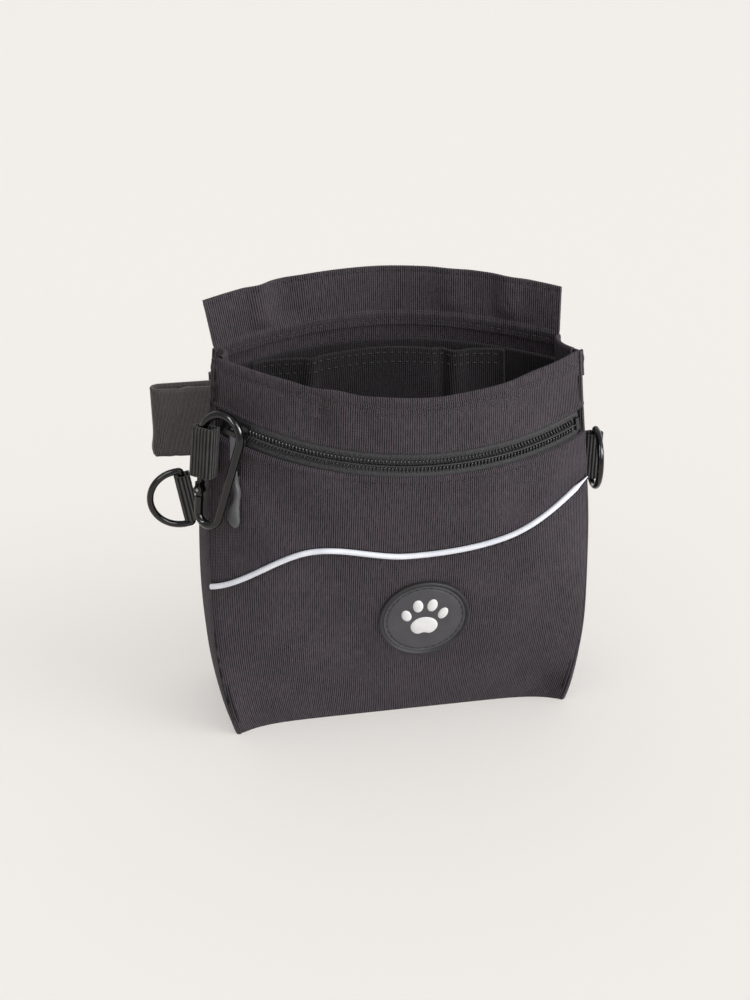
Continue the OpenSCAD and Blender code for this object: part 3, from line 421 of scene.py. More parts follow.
def rim_folds(x, v):
    """Upright buckles under the front rim, strongest left of the middle."""
    near_rim = hump(v, 0.94, 0.13)
    left = 0.8 * math.sin((x + 36) / 3.6) * hump(x, -34, 26)
    right = 0.5 * math.sin((x - 48) / 5.2) * hump(x, 56, 26)
    return near_rim * (left + right)


def front_piece(name, low, high, rows, relief, replaced, wrap=0.0):
    """One front panel from v = low(u) to high(u); wrap turns that many millimetres over the rim."""
    half_turn = CANVAS

    def surface(s, t):
        u = mix(-0.998, 0.998, s)
        if not wrap:
            return front(u, mix(low(u), high(u), t))
        height = front_height(u)
        down = (1 - low(u)) * height
        run = mix(-down, math.pi * half_turn + wrap, t)
        inward = Vector((0, 1, 0))
        if run <= 0:
            return front(u, 1 + run / height)
        angle = min(math.pi, run / half_turn)
        below = max(0, run - math.pi * half_turn)
        p = front(u, 1 - below / height)
        return p + inward * half_turn * (1 - math.cos(angle)) + Vector((0, 0, half_turn * math.sin(angle)))

    bm = drape(surface, 120, rows, relief)
    made = piece(bm, name, canvas, "bag", thick=0.9)
    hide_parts(*replaced)
    return made


def side_dip(s):
    """The panel turns in at its two side seams."""
    edge = min(s, 1 - s) * 2 * 82
    return -0.7 * math.exp(-((edge / 2.0) ** 2))


def upper_relief(s, t, p):
    v = p.z / front_height(2 * s - 1)
    below = max(0.0, (ZIP_V0 + 0.04 - v)) * 170
    roll = 0.5 * math.exp(-((t * 40 - 1.6) ** 2) / 1.6) - 0.9 * math.exp(-((t * 40) ** 2) / 0.5)
    settle = smooth(t * 4)
    dent = -0.5 * hump(v, 1 - 3.6 / 171, 0.012) if p.z > ZIP_Z + 20 else 0
    return side_dip(s) + settle * (rim_folds(p.x, v) + 0.8 * frill(p.x, p.z)) + roll + dent


def middle_relief(s, t, p):
    ends = smooth(t * 8) * smooth((1 - t) * 8)
    diagonal = 1.1 * math.sin((p.x + 0.8 * p.z - 60) / 9) * hump(p.x, -55, 34) * hump(p.z, 118, 34)
    right = 0.9 * math.sin((p.x - 0.6 * p.z + 20) / 8) * hump(p.x, 62, 26) * hump(p.z, 125, 26)
    roll = 0.5 * math.exp(-(((1 - t) * 40 - 1.6) ** 2) / 1.6) - 0.9 * math.exp(-(((1 - t) * 40) ** 2) / 0.5)
    seam = -0.8 * math.exp(-((t * 40) ** 2) / 0.8)
    return side_dip(s) + ends * (frill(p.x, p.z) + diagonal + right) + roll + seam


def lower_relief(s, t, p):
    ends = smooth(t * 5) * smooth((1 - t) * 8)
    seam = -0.8 * math.exp(-(((1 - t) * 60) ** 2) / 0.8)
    foot = 0.8 * hump(p.z, 6, 9) * math.sin(p.x / 7 + 1.3 * ripple(p.x, 0, 30, 5.5))
    corner = -1.2 * hump(p.z, 8, 14) * (hump(p.x, -70, 12) + hump(p.x, 70, 12))
    return side_dip(s) + ends * frill(p.x, p.z) + seam + smooth(p.z / 4) * (0.5 * foot + corner)


def zip_edge(u, side):
    return zip_v(u) + side * WELT / front_height(u)


front_piece("front_upper_cloth", lambda u: zip_edge(u, 1), lambda u: 1, 46, upper_relief,
            ["front_upper_panel"], wrap=HEM)
front_piece("front_middle_cloth", lambda u: seam_v(u) + 0.002, lambda u: zip_edge(u, -1), 46, middle_relief,
            ["front_middle_panel"])
front_piece("front_lower_cloth", lambda u: 0, lambda u: seam_v(u) - 0.002, 60, lower_relief,
            ["front_lower_panel"])


# ---------------------------------------------------------------- sides, back and base
def side_piece(side):
    def surface(s, v):
        return gusset(side, s if side > 0 else 1 - s, v)

    def relief(s, v, p):
        edge = -0.5 * math.exp(-((min(s, 1 - s) * 40 / 2.0) ** 2))
        crease = -1.6 * hump(s, 0.5, 0.3) * smooth((v - 0.35) * 2)
        return edge + crease * (1 - smooth((v - 0.8) * 6)) + 0.7 * frill(p.y * 2, p.z) * smooth(v * 6)

    bm = drape(surface, 28, 70, relief)
    name = "left" if side < 0 else "right"
    made = piece(bm, name + "_gusset_cloth", canvas, "bag", thick=1.1)
    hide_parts(name + "_gusset")


side_piece(-1)
side_piece(1)


def back_relief(s, t, p):
    edge = -1.1 * math.exp(-((min(s, 1 - s) * 160 / 2.0) ** 2))
    return edge + smooth(t * 6) * smooth((1 - t) * 9) * 1.1 * frill(p.x, p.z + 300)


back_cloth = piece(drape(lambda s, t: back(mix(0.998, -0.998, s), t), 100, 60, back_relief),
                   "back_cloth", canvas, "bag", thick=1.1)
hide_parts("back_panel")


def base_outline(inset):
    us = [k / 30 - 1 for k in range(61)]
    shrink = 1 - 2 * inset / BASE_WIDTH
    near = [Vector((front(u, 0).x * shrink, front(u, 0).y + inset * (1 + 0.35 * abs(u) ** 8), 0))
            for u in us]
    far = [Vector((back(u, 0).x * shrink, back(u, 0).y - inset, 0)) for u in reversed(us)]
    return near + far


def base_layer(name, inset, low, thick, material, node):
    bm = bmesh.new()
    ring = [bm.verts.new(p + Vector((0, 0, low))) for p in base_outline(inset)]
    bm.faces.new(ring)
    up = bmesh.ops.extrude_face_region(bm, geom=list(bm.faces))
    raised = [g for g in up["geom"] if isinstance(g, bmesh.types.BMVert)]
    bmesh.ops.translate(bm, vec=(0, 0, thick), verts=raised)
    bmesh.ops.recalc_face_normals(bm, faces=bm.faces)
    uv = bm.loops.layers.uv.new("cloth")
    for face in bm.faces:
        for loop in face.loops:
            loop[uv].uv = (loop.vert.co.x * MM, (loop.vert.co.y + loop.vert.co.z) * MM)
    made = piece(bm, name, material, "bag")
    made.data.shade_flat()
    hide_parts(node)


base_layer("bottom_cloth", 0.4, 0, CANVAS, canvas, "bottom_panel")
base_layer("base_stiffener", 1.8, CANVAS + 0.15, 1.6, board_plastic, "base_board")
base_layer("bottom_lining_cloth", 3.0, 4.2, 0.6, inside, "bottom_lining")


# ---------------------------------------------------------------- inside of the bag
LINING_LOW, LINING_TOP = 5.2 / 171, 1 - 11 / BAG_HEIGHT


def lining_piece(name, surface, relief, node):
    made = piece(drape(surface, 60, 50, relief), name, inside, "bag", thick=0.6)
    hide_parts(node)


def inside_front(s, t):
    v = mix(LINING_LOW, LINING_TOP, t)
    return front(mix(-0.985, 0.985, s), v)


def inside_back(s, t):
    return back(mix(0.985, -0.985, s), mix(LINING_LOW, LINING_TOP, t))


def front_lining_relief(s, t, p):
    """Stands off the panels to leave the zip pocket its room, and comes nearer at the rim."""
    room = mix(5.6, 2.8, smooth(t * 8 - 7)) * smooth(min(s, 1 - s) * 12)
    return -room - 1.3 + 0.5 * frill(p.x, p.z)


lining_piece("front_lining_cloth", inside_front, front_lining_relief, "front_lining")
lining_piece("back_lining_cloth", inside_back,
             lambda s, t, p: -2.6 + 0.6 * frill(p.x, p.z + 90), "back_lining")
for side, word in ((-1, "left"), (1, "right")):
    lining_piece(word + "_lining_cloth",
                 lambda s, t, side=side: gusset(side, s if side > 0 else 1 - s, mix(LINING_LOW, LINING_TOP, t)),
                 lambda s, t, p: -2.6 + 0.4 * frill(p.y, p.z), word + "_lining")
backing = piece(drape(lambda s, t: front(mix(-0.84, 0.84, s), mix(0.3, ZIP_V0 + 0.03, t)), 40, 16,
                      lambda s, t, p: -4.8), "zip_pocket_cloth", inside, "bag", thick=0.4)
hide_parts("zip_pocket_backing")


def rim_band(name, surface, cols, drop):
    """The hem folded to the inside along a rim, as a strip with a rounded top edge."""
    def turned(s, t):
        run = mix(0, math.pi * CANVAS + HEM, t)
        angle = min(math.pi, run / CANVAS)
        below = max(0, run - math.pi * CANVAS)
        s = mix(0.14, 0.86, s)
        p, out = surface(s, 1 - below / BAG_HEIGHT), normal(surface, s, 0.97)
        out.z = 0
        inward = out * (0.5 + CANVAS * (1 - math.cos(angle)))
        return p - inward + Vector((0, 0, CANVAS * math.sin(angle) - drop))
    return piece(drape(turned, cols, 24), name, canvas, "bag", thick=0.8)


rim_band("left_hem_cloth", lambda s, v: gusset(-1, 1 - s, v), 24, 0.2)
rim_band("right_hem_cloth", lambda s, v: gusset(1, s, v), 24, 0.2)


def pocket_surface(s, t):
    return back(mix(0.7, -0.78, s), mix(0.55, 0.935, t))


def pocket_relief(s, t, p):
    stand = 8 * smooth(4 * min(s, 1 - s)) * smooth(3 * t)
    creases = 1.3 * (hump(p.x, -38, 5) + hump(p.x, 34, 6) - hump(p.x, 27, 5)) * smooth(t * 2)
    return -(3.4 + stand) - creases + 0.8 * frill(p.x, p.z + 50) * smooth(t * 3)


pocket = piece(drape(pocket_surface, 80, 40, pocket_relief), "inner_pocket_cloth", inside, "bag",
               thick=1.1)
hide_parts("inner_pocket")


# ---------------------------------------------------------------- flap: two layers that cross the fold
FLAP_MID = 1.3


def flap_surface(s, t):
    u = mix(0.99, -0.99, s)
    if t < 0.12:
        return back(u, mix(0.972, 1.0, t / 0.12)) + Vector((0, -0.4, 0.4 * t / 0.12))
    return flap(u, (t - 0.12) / 0.88)


def flap_relief(s, t, p):
    rise = smooth((t - 0.15) * 4)
    folds = (-2.2 * hump(p.x, -58, 7) - 1.5 * hump(p.x, 55, 8)
             + 1.2 * hump(p.x, -46, 9) - 1.3 * hump(p.x, 30, 9))
    fold_line = -0.5 * hump(t, 0.13, 0.05)
    stitched = 0.25 * (hump(1 - t, 0.09, 0.04))
    return -FLAP_MID + rise * (folds + 0.7 * frill(p.x, p.z)) + fold_line + stitched


flap_cloth = piece(drape(flap_surface, 120, 30, flap_relief), "flap_cloth", facing, None,
                   thick=2.2, offset=0)
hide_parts("flap_outer", "flap_facing")
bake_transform(flap_cloth)


# ---------------------------------------------------------------- reflective piping and badge
def on_front(u, v, lift=0.0):
    out = normal(front, u, v, start=-1.0)
    return front(u, v) + out * lift, out


piping_us = [mix(-0.99, 0.985, k / 120) for k in range(121)]
piping_line = [on_front(u, seam_v(u), 0.75)[0] for u in piping_us]
piping = tube("reflective_piping_cord", piping_line, 1.3, reflective, "bag",
              [min(1, 0.25 + 1.5 * smooth((120 - k) / 10)) if k > 100 else 1 for k in range(121)])
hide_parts("reflective_piping")

badge_v = BADGE_HEIGHT / front_height(BADGE_OFFSET / half_width(0.3))


def badge_point(a, b, lift):
    v = badge_v + b / (BAG_HEIGHT - RIM_SAG)
    p, out = on_front((BADGE_OFFSET + a) / half_width(v), v)
    return p + out * lift


def turned_disc(outline, steps=96):
    """A closed round form spun from an outline of (radius, height) points."""
    bm = bmesh.new()
    line = [bm.verts.new((r, 0, h)) for r, h in outline]
    for a, b in zip(line, line[1:]):
        bm.edges.new((a, b))
    bmesh.ops.spin(bm, geom=list(bm.verts) + list(bm.edges), cent=(0, 0, 0), axis=(0, 0, 1),
                   angle=2 * math.pi, steps=steps, use_merge=True)
    bmesh.ops.remove_doubles(bm, verts=bm.verts, dist=0.001)
    bmesh.ops.recalc_face_normals(bm, faces=bm.faces)
    return bm


def bend_to_front(bm, lift=0.0):
    for vert in bm.verts:
        vert.co = badge_point(vert.co.x, vert.co.y, vert.co.z + lift)
    return bm


R = BADGE_D / 2
rim_outline = [(R - 2.3, 0.2), (R - 0.2, 0.2), (R, 0.6), (R, 1.7), (R - 0.25, 2.1), (R - 0.7, 2.25),
               (R - 1.2, 2.2), (R - 1.5, 1.9), (R - 1.7, 1.55), (R - 2.3, 1.5), (R - 2.3, 0.2)]
face_outline = [(0.01, 0.3), (R - 2.2, 0.3), (R - 2.2, 1.5), (R - 2.6, 1.62), (R - 3.1, 1.6), (R - 3.3, 1.4),
                (R - 3.6, 1.35), (R - 3.9, 1.4), (R - 4.1, 1.62), (R - 4.6, 1.7), (R * 0.6, 1.72),
                (R * 0.3, 1.74), (0.01, 1.74)]
piece(bend_to_front(turned_disc(rim_outline)), "badge_rim", badge_edge, "bag")
badge_body = piece(bend_to_front(turned_disc(face_outline)), "badge_body", badge_face, "bag")
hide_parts("rubber_badge")

emblem = bmesh.new()
PADS = ((0, -0.09, 0.15, 0.125, 0), (-0.2, 0.07, 0.052, 0.078, 0.35), (0.2, 0.07, 0.052, 0.078, -0.35),
        (-0.078, 0.19, 0.056, 0.083, 0.12), (0.078, 0.19, 0.056, 0.083, -0.12))
for a, b, wide, high, turn in PADS:
    place = Matrix.Translation((a * BADGE_D, b * BADGE_D, 1.7)) @ Matrix.Rotation(turn, 4, "Z")
    size = Matrix.Diagonal((wide * BADGE_D, high * BADGE_D, 0.75, 1))
    bmesh.ops.create_uvsphere(emblem, u_segments=40, v_segments=16, radius=1, matrix=place @ size)
for vert in emblem.verts:
    x, y = vert.co.x / BADGE_D, vert.co.y / BADGE_D + 0.09
    if abs(x) < 0.16 and y < 0 and vert.co.y / BADGE_D < 0.02:
        vert.co.y += BADGE_D * 0.035 * math.exp(-((x / 0.05) ** 2)) * min(1, -y / 0.1)
paw = piece(bend_to_front(emblem), "paw_emblem", emblem_white, "bag")
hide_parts("badge_emblem")

# ---------------------------------------------------------------- zip
ZIP_LEFT = -math.degrees(math.asin((half_width(ZIP_V0) * 0.915 + ZIP_OFFSET) / ZIP_RADIUS))
ZIP_RIGHT = math.degrees(math.asin((half_width(ZIP_V0) * 0.93 - ZIP_OFFSET) / ZIP_RADIUS))


def at_zip(angle):
    """The frame at one place of the zip: x out of the cloth, y up it and z along it."""
    a = math.radians(angle)
    out = Vector((math.sin(a), -math.cos(a), 0))
    turn = Matrix.Rotation(TILT, 3, "X")
    radial, axial = turn @ out, turn @ Vector((0, 0, 1))
    x = radial * math.cos(TILT) + axial * math.sin(TILT)
    y = axial * math.cos(TILT) - radial * math.sin(TILT)
    place = Matrix((x, y, x.cross(y))).transposed().to_4x4()
    place.translation = ZIP_CENTRE + radial * ZIP_RADIUS
    return place


TOOTH_PITCH = 1.6 / ZIP_RADIUS * 180 / math.pi
for side, word in ((1, "upper"), (-1, "lower")):
    chain = bmesh.new()
    count = int((ZIP_RIGHT - ZIP_LEFT) / TOOTH_PITCH)
    for k in range(count):
        place = at_zip(ZIP_LEFT + (k + (0.5 if side > 0 else 0.0)) * TOOTH_PITCH)
        tooth = Matrix.Translation((CHAIN_MID, side * 1.72, 0)) @ Matrix.Rotation(side * 0.3, 4, "X")
        size = Matrix.Diagonal((CHAIN_DEPTH / 2, 1.5, 0.5, 1))
        bmesh.ops.create_uvsphere(chain, u_segments=8, v_segments=6, radius=1, matrix=place @ tooth @ size)
    made = piece(chain, word + "_coil_row", nylon, "bag")
    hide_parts(word + "_zip_coil")

    def tape_surface(s, t, side=side):
        angle = mix(ZIP_LEFT - 1.5, ZIP_RIGHT + 1.5, s)
        y = mix(0.35, 10.5, t) if side > 0 else mix(-11, -0.35, t)
        lean = max(0, abs(y) - 5) * (0.18 if side > 0 else 0.06)
        return at_zip(angle) @ Vector((-1.25 - lean, y, 0))

    made = piece(drape(tape_surface, 90, 10), word + "_tape_cloth", tape, "bag", thick=0.45)
    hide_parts(word + "_zip_tape")

cord_line = [at_zip(mix(ZIP_LEFT, ZIP_RIGHT, k / 100)) @ Vector((CHAIN_MID + 0.75, 0, 0))
             for k in range(101)]
tube("coil_core_thread", cord_line, 0.28, thread, "bag")


def zip_places(y, lift=0.0, count=140):
    places = []
    for k in range(count + 1):
        place = at_zip(mix(ZIP_LEFT - 0.5, ZIP_RIGHT + 0.5, k / count))
        places.append((place @ Vector((lift, y, 0)), (place.to_3x3() @ Vector((1, 0, 0)))))
    return places


stitch_row("tape_stitches", zip_places(3.6, -1.1), "bag", 1.5, 2.2, 0.35)

for name, material in (("zip_end_stops", nylon), ("zip_slider", slider_black), ("zip_pull_tab", nickel),
                       ("gate_pin", steel), ("buckle_socket", acetal), ("buckle_tongue", acetal),
                       ("belt_adjuster", acetal), ("belt_keeper", acetal)):
    shown = nodes[name]
    shown.data.materials.clear()
    shown.data.materials.append(material)



def joint_of(name):
    found = next(j for j in frame["joints"] if j["name"] == name)
    return Vector(found["pos_m"]) / MM, Vector(found["axis"]).normalized()


post, _ = joint_of("pull_tab_swing")
eye, eye_axis = joint_of("pull_grip_swing")
down = (eye - post).normalized()
across = eye_axis.cross(down).normalized()
GRIP = ((-2.3, 0.8, 1.2), (-1.2, 1.9, 1.5), (1.0, 1.75, 1.5), (3.2, 1.45, 1.45), (8, 1.45, 1.4), (12.5, 1.5, 1.4),
        (15.5, 2.3, 1.5), (18.4, 3.1, 1.6), (21.4, 3.15, 1.6), (24.0, 2.5, 1.5), (25.6, 1.1, 1.1))
grip = bmesh.new()
bmesh.ops.create_uvsphere(grip, u_segments=28, v_segments=48, radius=1)
for vert in grip.verts:
    t = (1 - vert.co.z) / 2 * (GRIP[-1][0] - GRIP[0][0]) + GRIP[0][0]
    ring = Vector((vert.co.x, vert.co.y, 0))
    ring = ring.normalized() if ring.length > 1e-4 else ring
    k = max(i for i in range(len(GRIP) - 1) if GRIP[i][0] <= t + 1e-6)
    f = (t - GRIP[k][0]) / (GRIP[k + 1][0] - GRIP[k][0])
    wide, deep = mix(GRIP[k][1], GRIP[k + 1][1], smooth(f)), mix(GRIP[k][2], GRIP[k + 1][2], smooth(f))
    end = math.sqrt(max(0, 1 - vert.co.z**8))
    sway = 1.1 * math.sin((t - 4) / 21 * 2 * math.pi) * smooth((t - 2) / 6) * (1 - smooth((t - 18) / 8) * 0.5)
    square = max(abs(ring.x), abs(ring.y)) ** -0.35 if ring.length > 0.5 else 1
    out = end * square
    vert.co = eye + down * t + across * (ring.x * wide * out + sway) + eye_axis * ring.y * deep * out
bmesh.ops.recalc_face_normals(grip, faces=grip.faces)
grip_piece = piece(grip, "moulded_grip", grip_rubber, "pull_grip")
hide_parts("rubber_pull")


# ---------------------------------------------------------------- webbing: loops and belt
def strap(name, line, low_z, high_z, place, thick, material, body, relief=None):
    """Webbing on edge: a plan line of (x, y) points given height, its UV running along it."""
    points = [Vector((x, y, 0)) for x, y in line]
    run = lengths(points)

    def surface(s, t):
        at = s * run[-1]
        k = min(len(run) - 2, max(i for i in range(len(run)) if run[i] <= at + 1e-6))
        f = (at - run[k]) / (run[k + 1] - run[k])
        p = points[k].lerp(points[k + 1], f)
        return place @ Vector((p.x, p.y, mix(low_z, high_z, t)))

    columns = max(24, int(run[-1] / 2.2))
    bm = bmesh.new()
    bmesh.ops.create_grid(bm, x_segments=columns, y_segments=16, size=0.5)
    spots = {}
    for vert in bm.verts:
        s, t = vert.co.x + 0.5, vert.co.y + 0.5
        p = surface(s, t)
        if relief:
            out = normal(surface, s, min(0.99, max(0.01, t)), 0.3 / run[-1])
            p = p + out * relief(s * run[-1], mix(low_z, high_z, t), p)
        vert.co = p
        spots[vert] = (s * run[-1] * MM, (high_z - low_z) * t * MM)
    uv = bm.loops.layers.uv.new("cloth")
    for face in bm.faces:
        for loop in face.loops:
            loop[uv].uv = spots[loop.vert]
    return piece(bm, name, material, body, thick=thick, offset=0)


LOOP_WIDTH, WEBBING, RING_WIRE, CLIP_WIRE = 22.5, 1.5, 3.1, 3.9
LEFT_REACH, RIGHT_REACH, LEFT_BAR, RIGHT_BAR = 7.2, 8.6, 3.6, 4.6  # the loops, and each ring's bar in them
RIGHT_RING_TURN, CLIP_OFF, CLIP_LOOP_RIGHT, CLIP_LOOP_REACH = 97, 7.3, 6.4, 11.6
GATE_R, KNUCKLE_R, FORK_R, TONGUE_THICK = 1.4, 1.6, 2.1, 1.4


def loop_line(reach, half):
    """Out along one side, round the end and back, measured at the webbing's middle."""
    h, centre = half - WEBBING / 2, reach - half
    turn = [(centre + h * math.cos(a), h * math.sin(a)) for a in [math.pi * (k / 16 - 0.5) for k in range(17)]]
    return [(0, -h), (centre * 0.5, -h)] + turn + [(centre * 0.5, h), (0, h)]


# the side loops stand where the rings' bars are
left_bar, left_axis = joint_of("left_ring_swing")
right_bar, _ = joint_of("right_ring_swing")
clip_origin, clip_axis = joint_of("carabiner_swing")
_, gate_axis = joint_of("gate_open")
clip_place = Matrix((gate_axis.cross(clip_axis), gate_axis, clip_axis)).transposed().to_4x4()
clip_place.translation = clip_origin
left_out = Vector((-left_axis.z, 0, left_axis.x))
left_place = Matrix((left_out, left_axis.cross(left_out), left_axis)).transposed().to_4x4()
left_place.translation = left_bar - left_out * LEFT_BAR
right_place = Matrix.Translation(right_bar - Vector((RIGHT_BAR, 0, 0)))
RING_LOOP_HALF, CLIP_LOOP_HALF = RING_WIRE / 2 + 0.3 + WEBBING, CLIP_WIRE / 2 + 0.5 + WEBBING
HALF = LOOP_WIDTH / 2

# rings and carabiner are bent wire: each is one smooth tube in its own frame
RING_HALF, RING_REACH = LOOP_WIDTH / 2 + RING_WIRE / 2 + 0.6, 16.5


def arc_points(x, z, r, start, end, n):
    """Points of an arc in a frame's x-z plane, its angles in degrees from +x towards +z."""
    turns = [math.radians(mix(start, end, k / n)) for k in range(n + 1)]
    return [Vector((x + r * math.cos(a), 0, z + r * math.sin(a))) for a in turns]


def ring_tube(name, place, node):
    corner = 1.2
    line = [Vector((0, 0, z)) for z in (-RING_HALF + corner, 0, RING_HALF - corner)]
    line += arc_points(corner, RING_HALF - corner, corner, 180, 90, 6)
    line += arc_points(RING_REACH - RING_HALF, 0, RING_HALF, 90, -90, 48)
    line += arc_points(corner, -RING_HALF + corner, corner, 270, 180, 6)[:-1]
    made = tube(name, [place @ p for p in line], RING_WIRE / 2, enamel, node, closed=True)
    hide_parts(node)


left_ring_place = Matrix((left_out, left_axis.cross(left_out), left_axis)).transposed().to_4x4()
left_ring_place.translation = left_bar
ring_tube("left_ring_wire", left_ring_place, "left_ring")
right_ring_place = Matrix.Translation(right_bar) @ Matrix.Rotation(math.radians(-RIGHT_RING_TURN), 4, "Z")
ring_tube("right_ring_wire", right_ring_place, "right_ring")

BIG_BEND, SMALL_BEND, BIG_Z, CLIP_LENGTH = 9.8, 5.5, 8.2, 36
SMALL_Z = BIG_Z - CLIP_LENGTH
HINGE_Z, SPINE_TURN = SMALL_Z + 10, math.degrees(2 * math.atan((BIG_BEND - SMALL_BEND) / CLIP_LENGTH))
clip_line = ([Vector((0, 0, HINGE_Z - 3.2)), Vector((0, 0, SMALL_Z + 1))]
             + arc_points(SMALL_BEND, SMALL_Z, SMALL_BEND, 180, 360 - SPINE_TURN, 36)
             + arc_points(BIG_BEND, BIG_Z, BIG_BEND, -SPINE_TURN, 168, 48))
clip_wire = tube("carabiner_wire", [clip_place @ p for p in clip_line], CLIP_WIRE / 2, enamel,
                 "carabiner")
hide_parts("carabiner_body")
across_hinge = Matrix.Rotation(math.pi / 2, 4, "X")
knuckle = bmesh.new()
bmesh.ops.create_cone(knuckle, cap_ends=True, segments=40, radius1=KNUCKLE_R, radius2=KNUCKLE_R,
                      depth=TONGUE_THICK,
                      matrix=clip_place @ Matrix.Translation((0, 0, HINGE_Z)) @ across_hinge)
bmesh.ops.create_cube(knuckle, size=1, matrix=clip_place @ Matrix.Translation((0, 0, HINGE_Z - 2))
                      @ Matrix.Diagonal((3.2, 1.4, 4, 1)))
knuckle_piece = piece(knuckle, "carabiner_knuckle", enamel, "carabiner")
knuckle_piece.data.shade_flat()
gate_line = [Vector((0, 0, mix(HINGE_Z + 2.2, BIG_Z + 1.6, k / 24))) for k in range(25)]
gate_rod = tube("carabiner_gate_rod", [clip_place @ p for p in gate_line], GATE_R, enamel, "gate",
                [1 if k < 22 else math.sqrt(1 - ((k - 21) / 3.3) ** 2) for k in range(25)])
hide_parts("carabiner_gate")
fork = bmesh.new()
for side in (-1, 1):
    ear = clip_place @ Matrix.Translation((0, side * 1.35, HINGE_Z))
    bmesh.ops.create_cone(fork, cap_ends=True, segments=40, radius1=FORK_R, radius2=FORK_R, depth=1,
                          matrix=ear @ across_hinge)
    bmesh.ops.create_cube(fork, size=1, matrix=ear @ Matrix.Translation((0, 0, 1.8))
                          @ Matrix.Diagonal((2.6, 1, 3.6, 1)))
bmesh.ops.create_cube(fork, size=1, matrix=clip_place @ Matrix.Translation((0, 0, HINGE_Z + 2.9))
                      @ Matrix.Diagonal((2.6, 3.7, 1.8, 1)))
fork_piece = piece(fork, "carabiner_gate_fork", enamel, "gate")
fork_piece.data.shade_flat()

made = strap("left_ring_webbing", loop_line(LEFT_REACH, RING_LOOP_HALF), -HALF, HALF, left_place, WEBBING - 0.2,
             loop_web, "bag")
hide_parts("left_ring_loop")
made = strap("right_ring_webbing", loop_line(RIGHT_REACH, RING_LOOP_HALF), -HALF, HALF, right_place, WEBBING - 0.2,
             loop_web, "bag")
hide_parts("right_ring_loop")
clip_loop = [(CLIP_LOOP_RIGHT - x, -y) for x, y in loop_line(CLIP_LOOP_REACH, CLIP_LOOP_HALF)]
made = strap("carabiner_webbing", clip_loop + [(CLIP_LOOP_RIGHT, 1.0)], -HALF, HALF, clip_place, WEBBING - 0.2,
             loop_web, "bag")
anchor = [(-1.75, CLIP_LOOP_HALF - 0.3), (-1.75, CLIP_OFF - 0.4)]
strap("carabiner_webbing_root", anchor, -HALF, HALF, clip_place, WEBBING - 0.2, loop_web, "bag")
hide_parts("carabiner_loop")

# the belt repeats its folded path: tunnel, left fold, turns behind the bag, buckle bars and tail
BELT_Z, BELT_WIDTH, BELT_THICK, TUNNEL_HALF = BAG_HEIGHT - 42, 34, 1.7, 58
PITCH = BELT_THICK + 0.7


def back_at(x, z):
    v = z / BAG_HEIGHT
    return back(x / half_width(v), v).y


def tunnel_level(x):
    x = min(TUNNEL_HALF, max(-TUNNEL_HALF, x))
    reach = BELT_WIDTH / 2 + 4
    return max(back_at(x, BELT_Z + k * reach) for k in (-1, -0.5, 0, 0.5, 1)) + 0.15 + 0.4 + BELT_THICK / 2


STACK = max(tunnel_level(x) for x in range(-20, 25, 5)) + BELT_THICK + 0.8 + CANVAS + 0.6


def stack_level(k):
    return STACK + k * PITCH + (2.2 if k > 3 else 0)


BAR_TURN = 1.6 + 0.25 + BELT_THICK / 2
BUCKLE_Y = stack_level(4) + BAR_TURN
TONGUE_BAR, SOCKET_BAR, RIGHT_FOLD, STACK_LEFT, STACK_RIGHT, TAIL_END = -8, 56, 80, -78, 72, -74
LEFT_TURN = -108 + (stack_level(0) - tunnel_level(-TUNNEL_HALF)) / 2


def turn_points(x, y0, y1, side, n):
    return [(x + side * abs(y1 - y0) / 2 * math.sin(math.pi * k / n),
             (y0 + y1) / 2 + (y0 - y1) / 2 * math.cos(math.pi * k / n)) for k in range(1, n)]


TOP = BUCKLE_Y + BAR_TURN
belt_line = (
    [(SOCKET_BAR + 24, TOP - BELT_THICK - 0.1), (SOCKET_BAR + 10, TOP - BELT_THICK - 0.1),
     (SOCKET_BAR, BUCKLE_Y - BAR_TURN)]
    + turn_points(SOCKET_BAR, BUCKLE_Y - BAR_TURN, TOP, -1, 12)
    + [(SOCKET_BAR, TOP), (RIGHT_FOLD, TOP)]
    + turn_points(RIGHT_FOLD, TOP, tunnel_level(TUNNEL_HALF), 1, 16)
    + [(RIGHT_FOLD, tunnel_level(TUNNEL_HALF))]
    + [(x, tunnel_level(x)) for x in range(TUNNEL_HALF, -TUNNEL_HALF - 1, -4)]
    + [(LEFT_TURN, tunnel_level(-TUNNEL_HALF))]
    + turn_points(LEFT_TURN, tunnel_level(-TUNNEL_HALF), stack_level(0), -1, 12)
    + [(LEFT_TURN, stack_level(0)), (STACK_RIGHT, stack_level(0))]
    + turn_points(STACK_RIGHT, stack_level(0), stack_level(1), 1, 10)
    + [(STACK_RIGHT, stack_level(1)), (STACK_LEFT, stack_level(1))]
    + turn_points(STACK_LEFT, stack_level(1), stack_level(2), -1, 10)
    + [(STACK_LEFT, stack_level(2)), (TONGUE_BAR - 6, stack_level(2))]
    + turn_points(TONGUE_BAR - 6, stack_level(2), stack_level(3), 1, 10)
    + [(TONGUE_BAR - 6, stack_level(3)), (STACK_LEFT, stack_level(3))]
    + turn_points(STACK_LEFT, stack_level(3), stack_level(4), -1, 10)
    + [(STACK_LEFT, stack_level(4)), (TONGUE_BAR, stack_level(4))]
    + turn_points(TONGUE_BAR, stack_level(4), TOP, 1, 12)
    + [(TONGUE_BAR, TOP), (TAIL_END + 25, TOP), (TAIL_END + 15, stack_level(4) + PITCH),
       (TAIL_END, stack_level(4) + PITCH)])


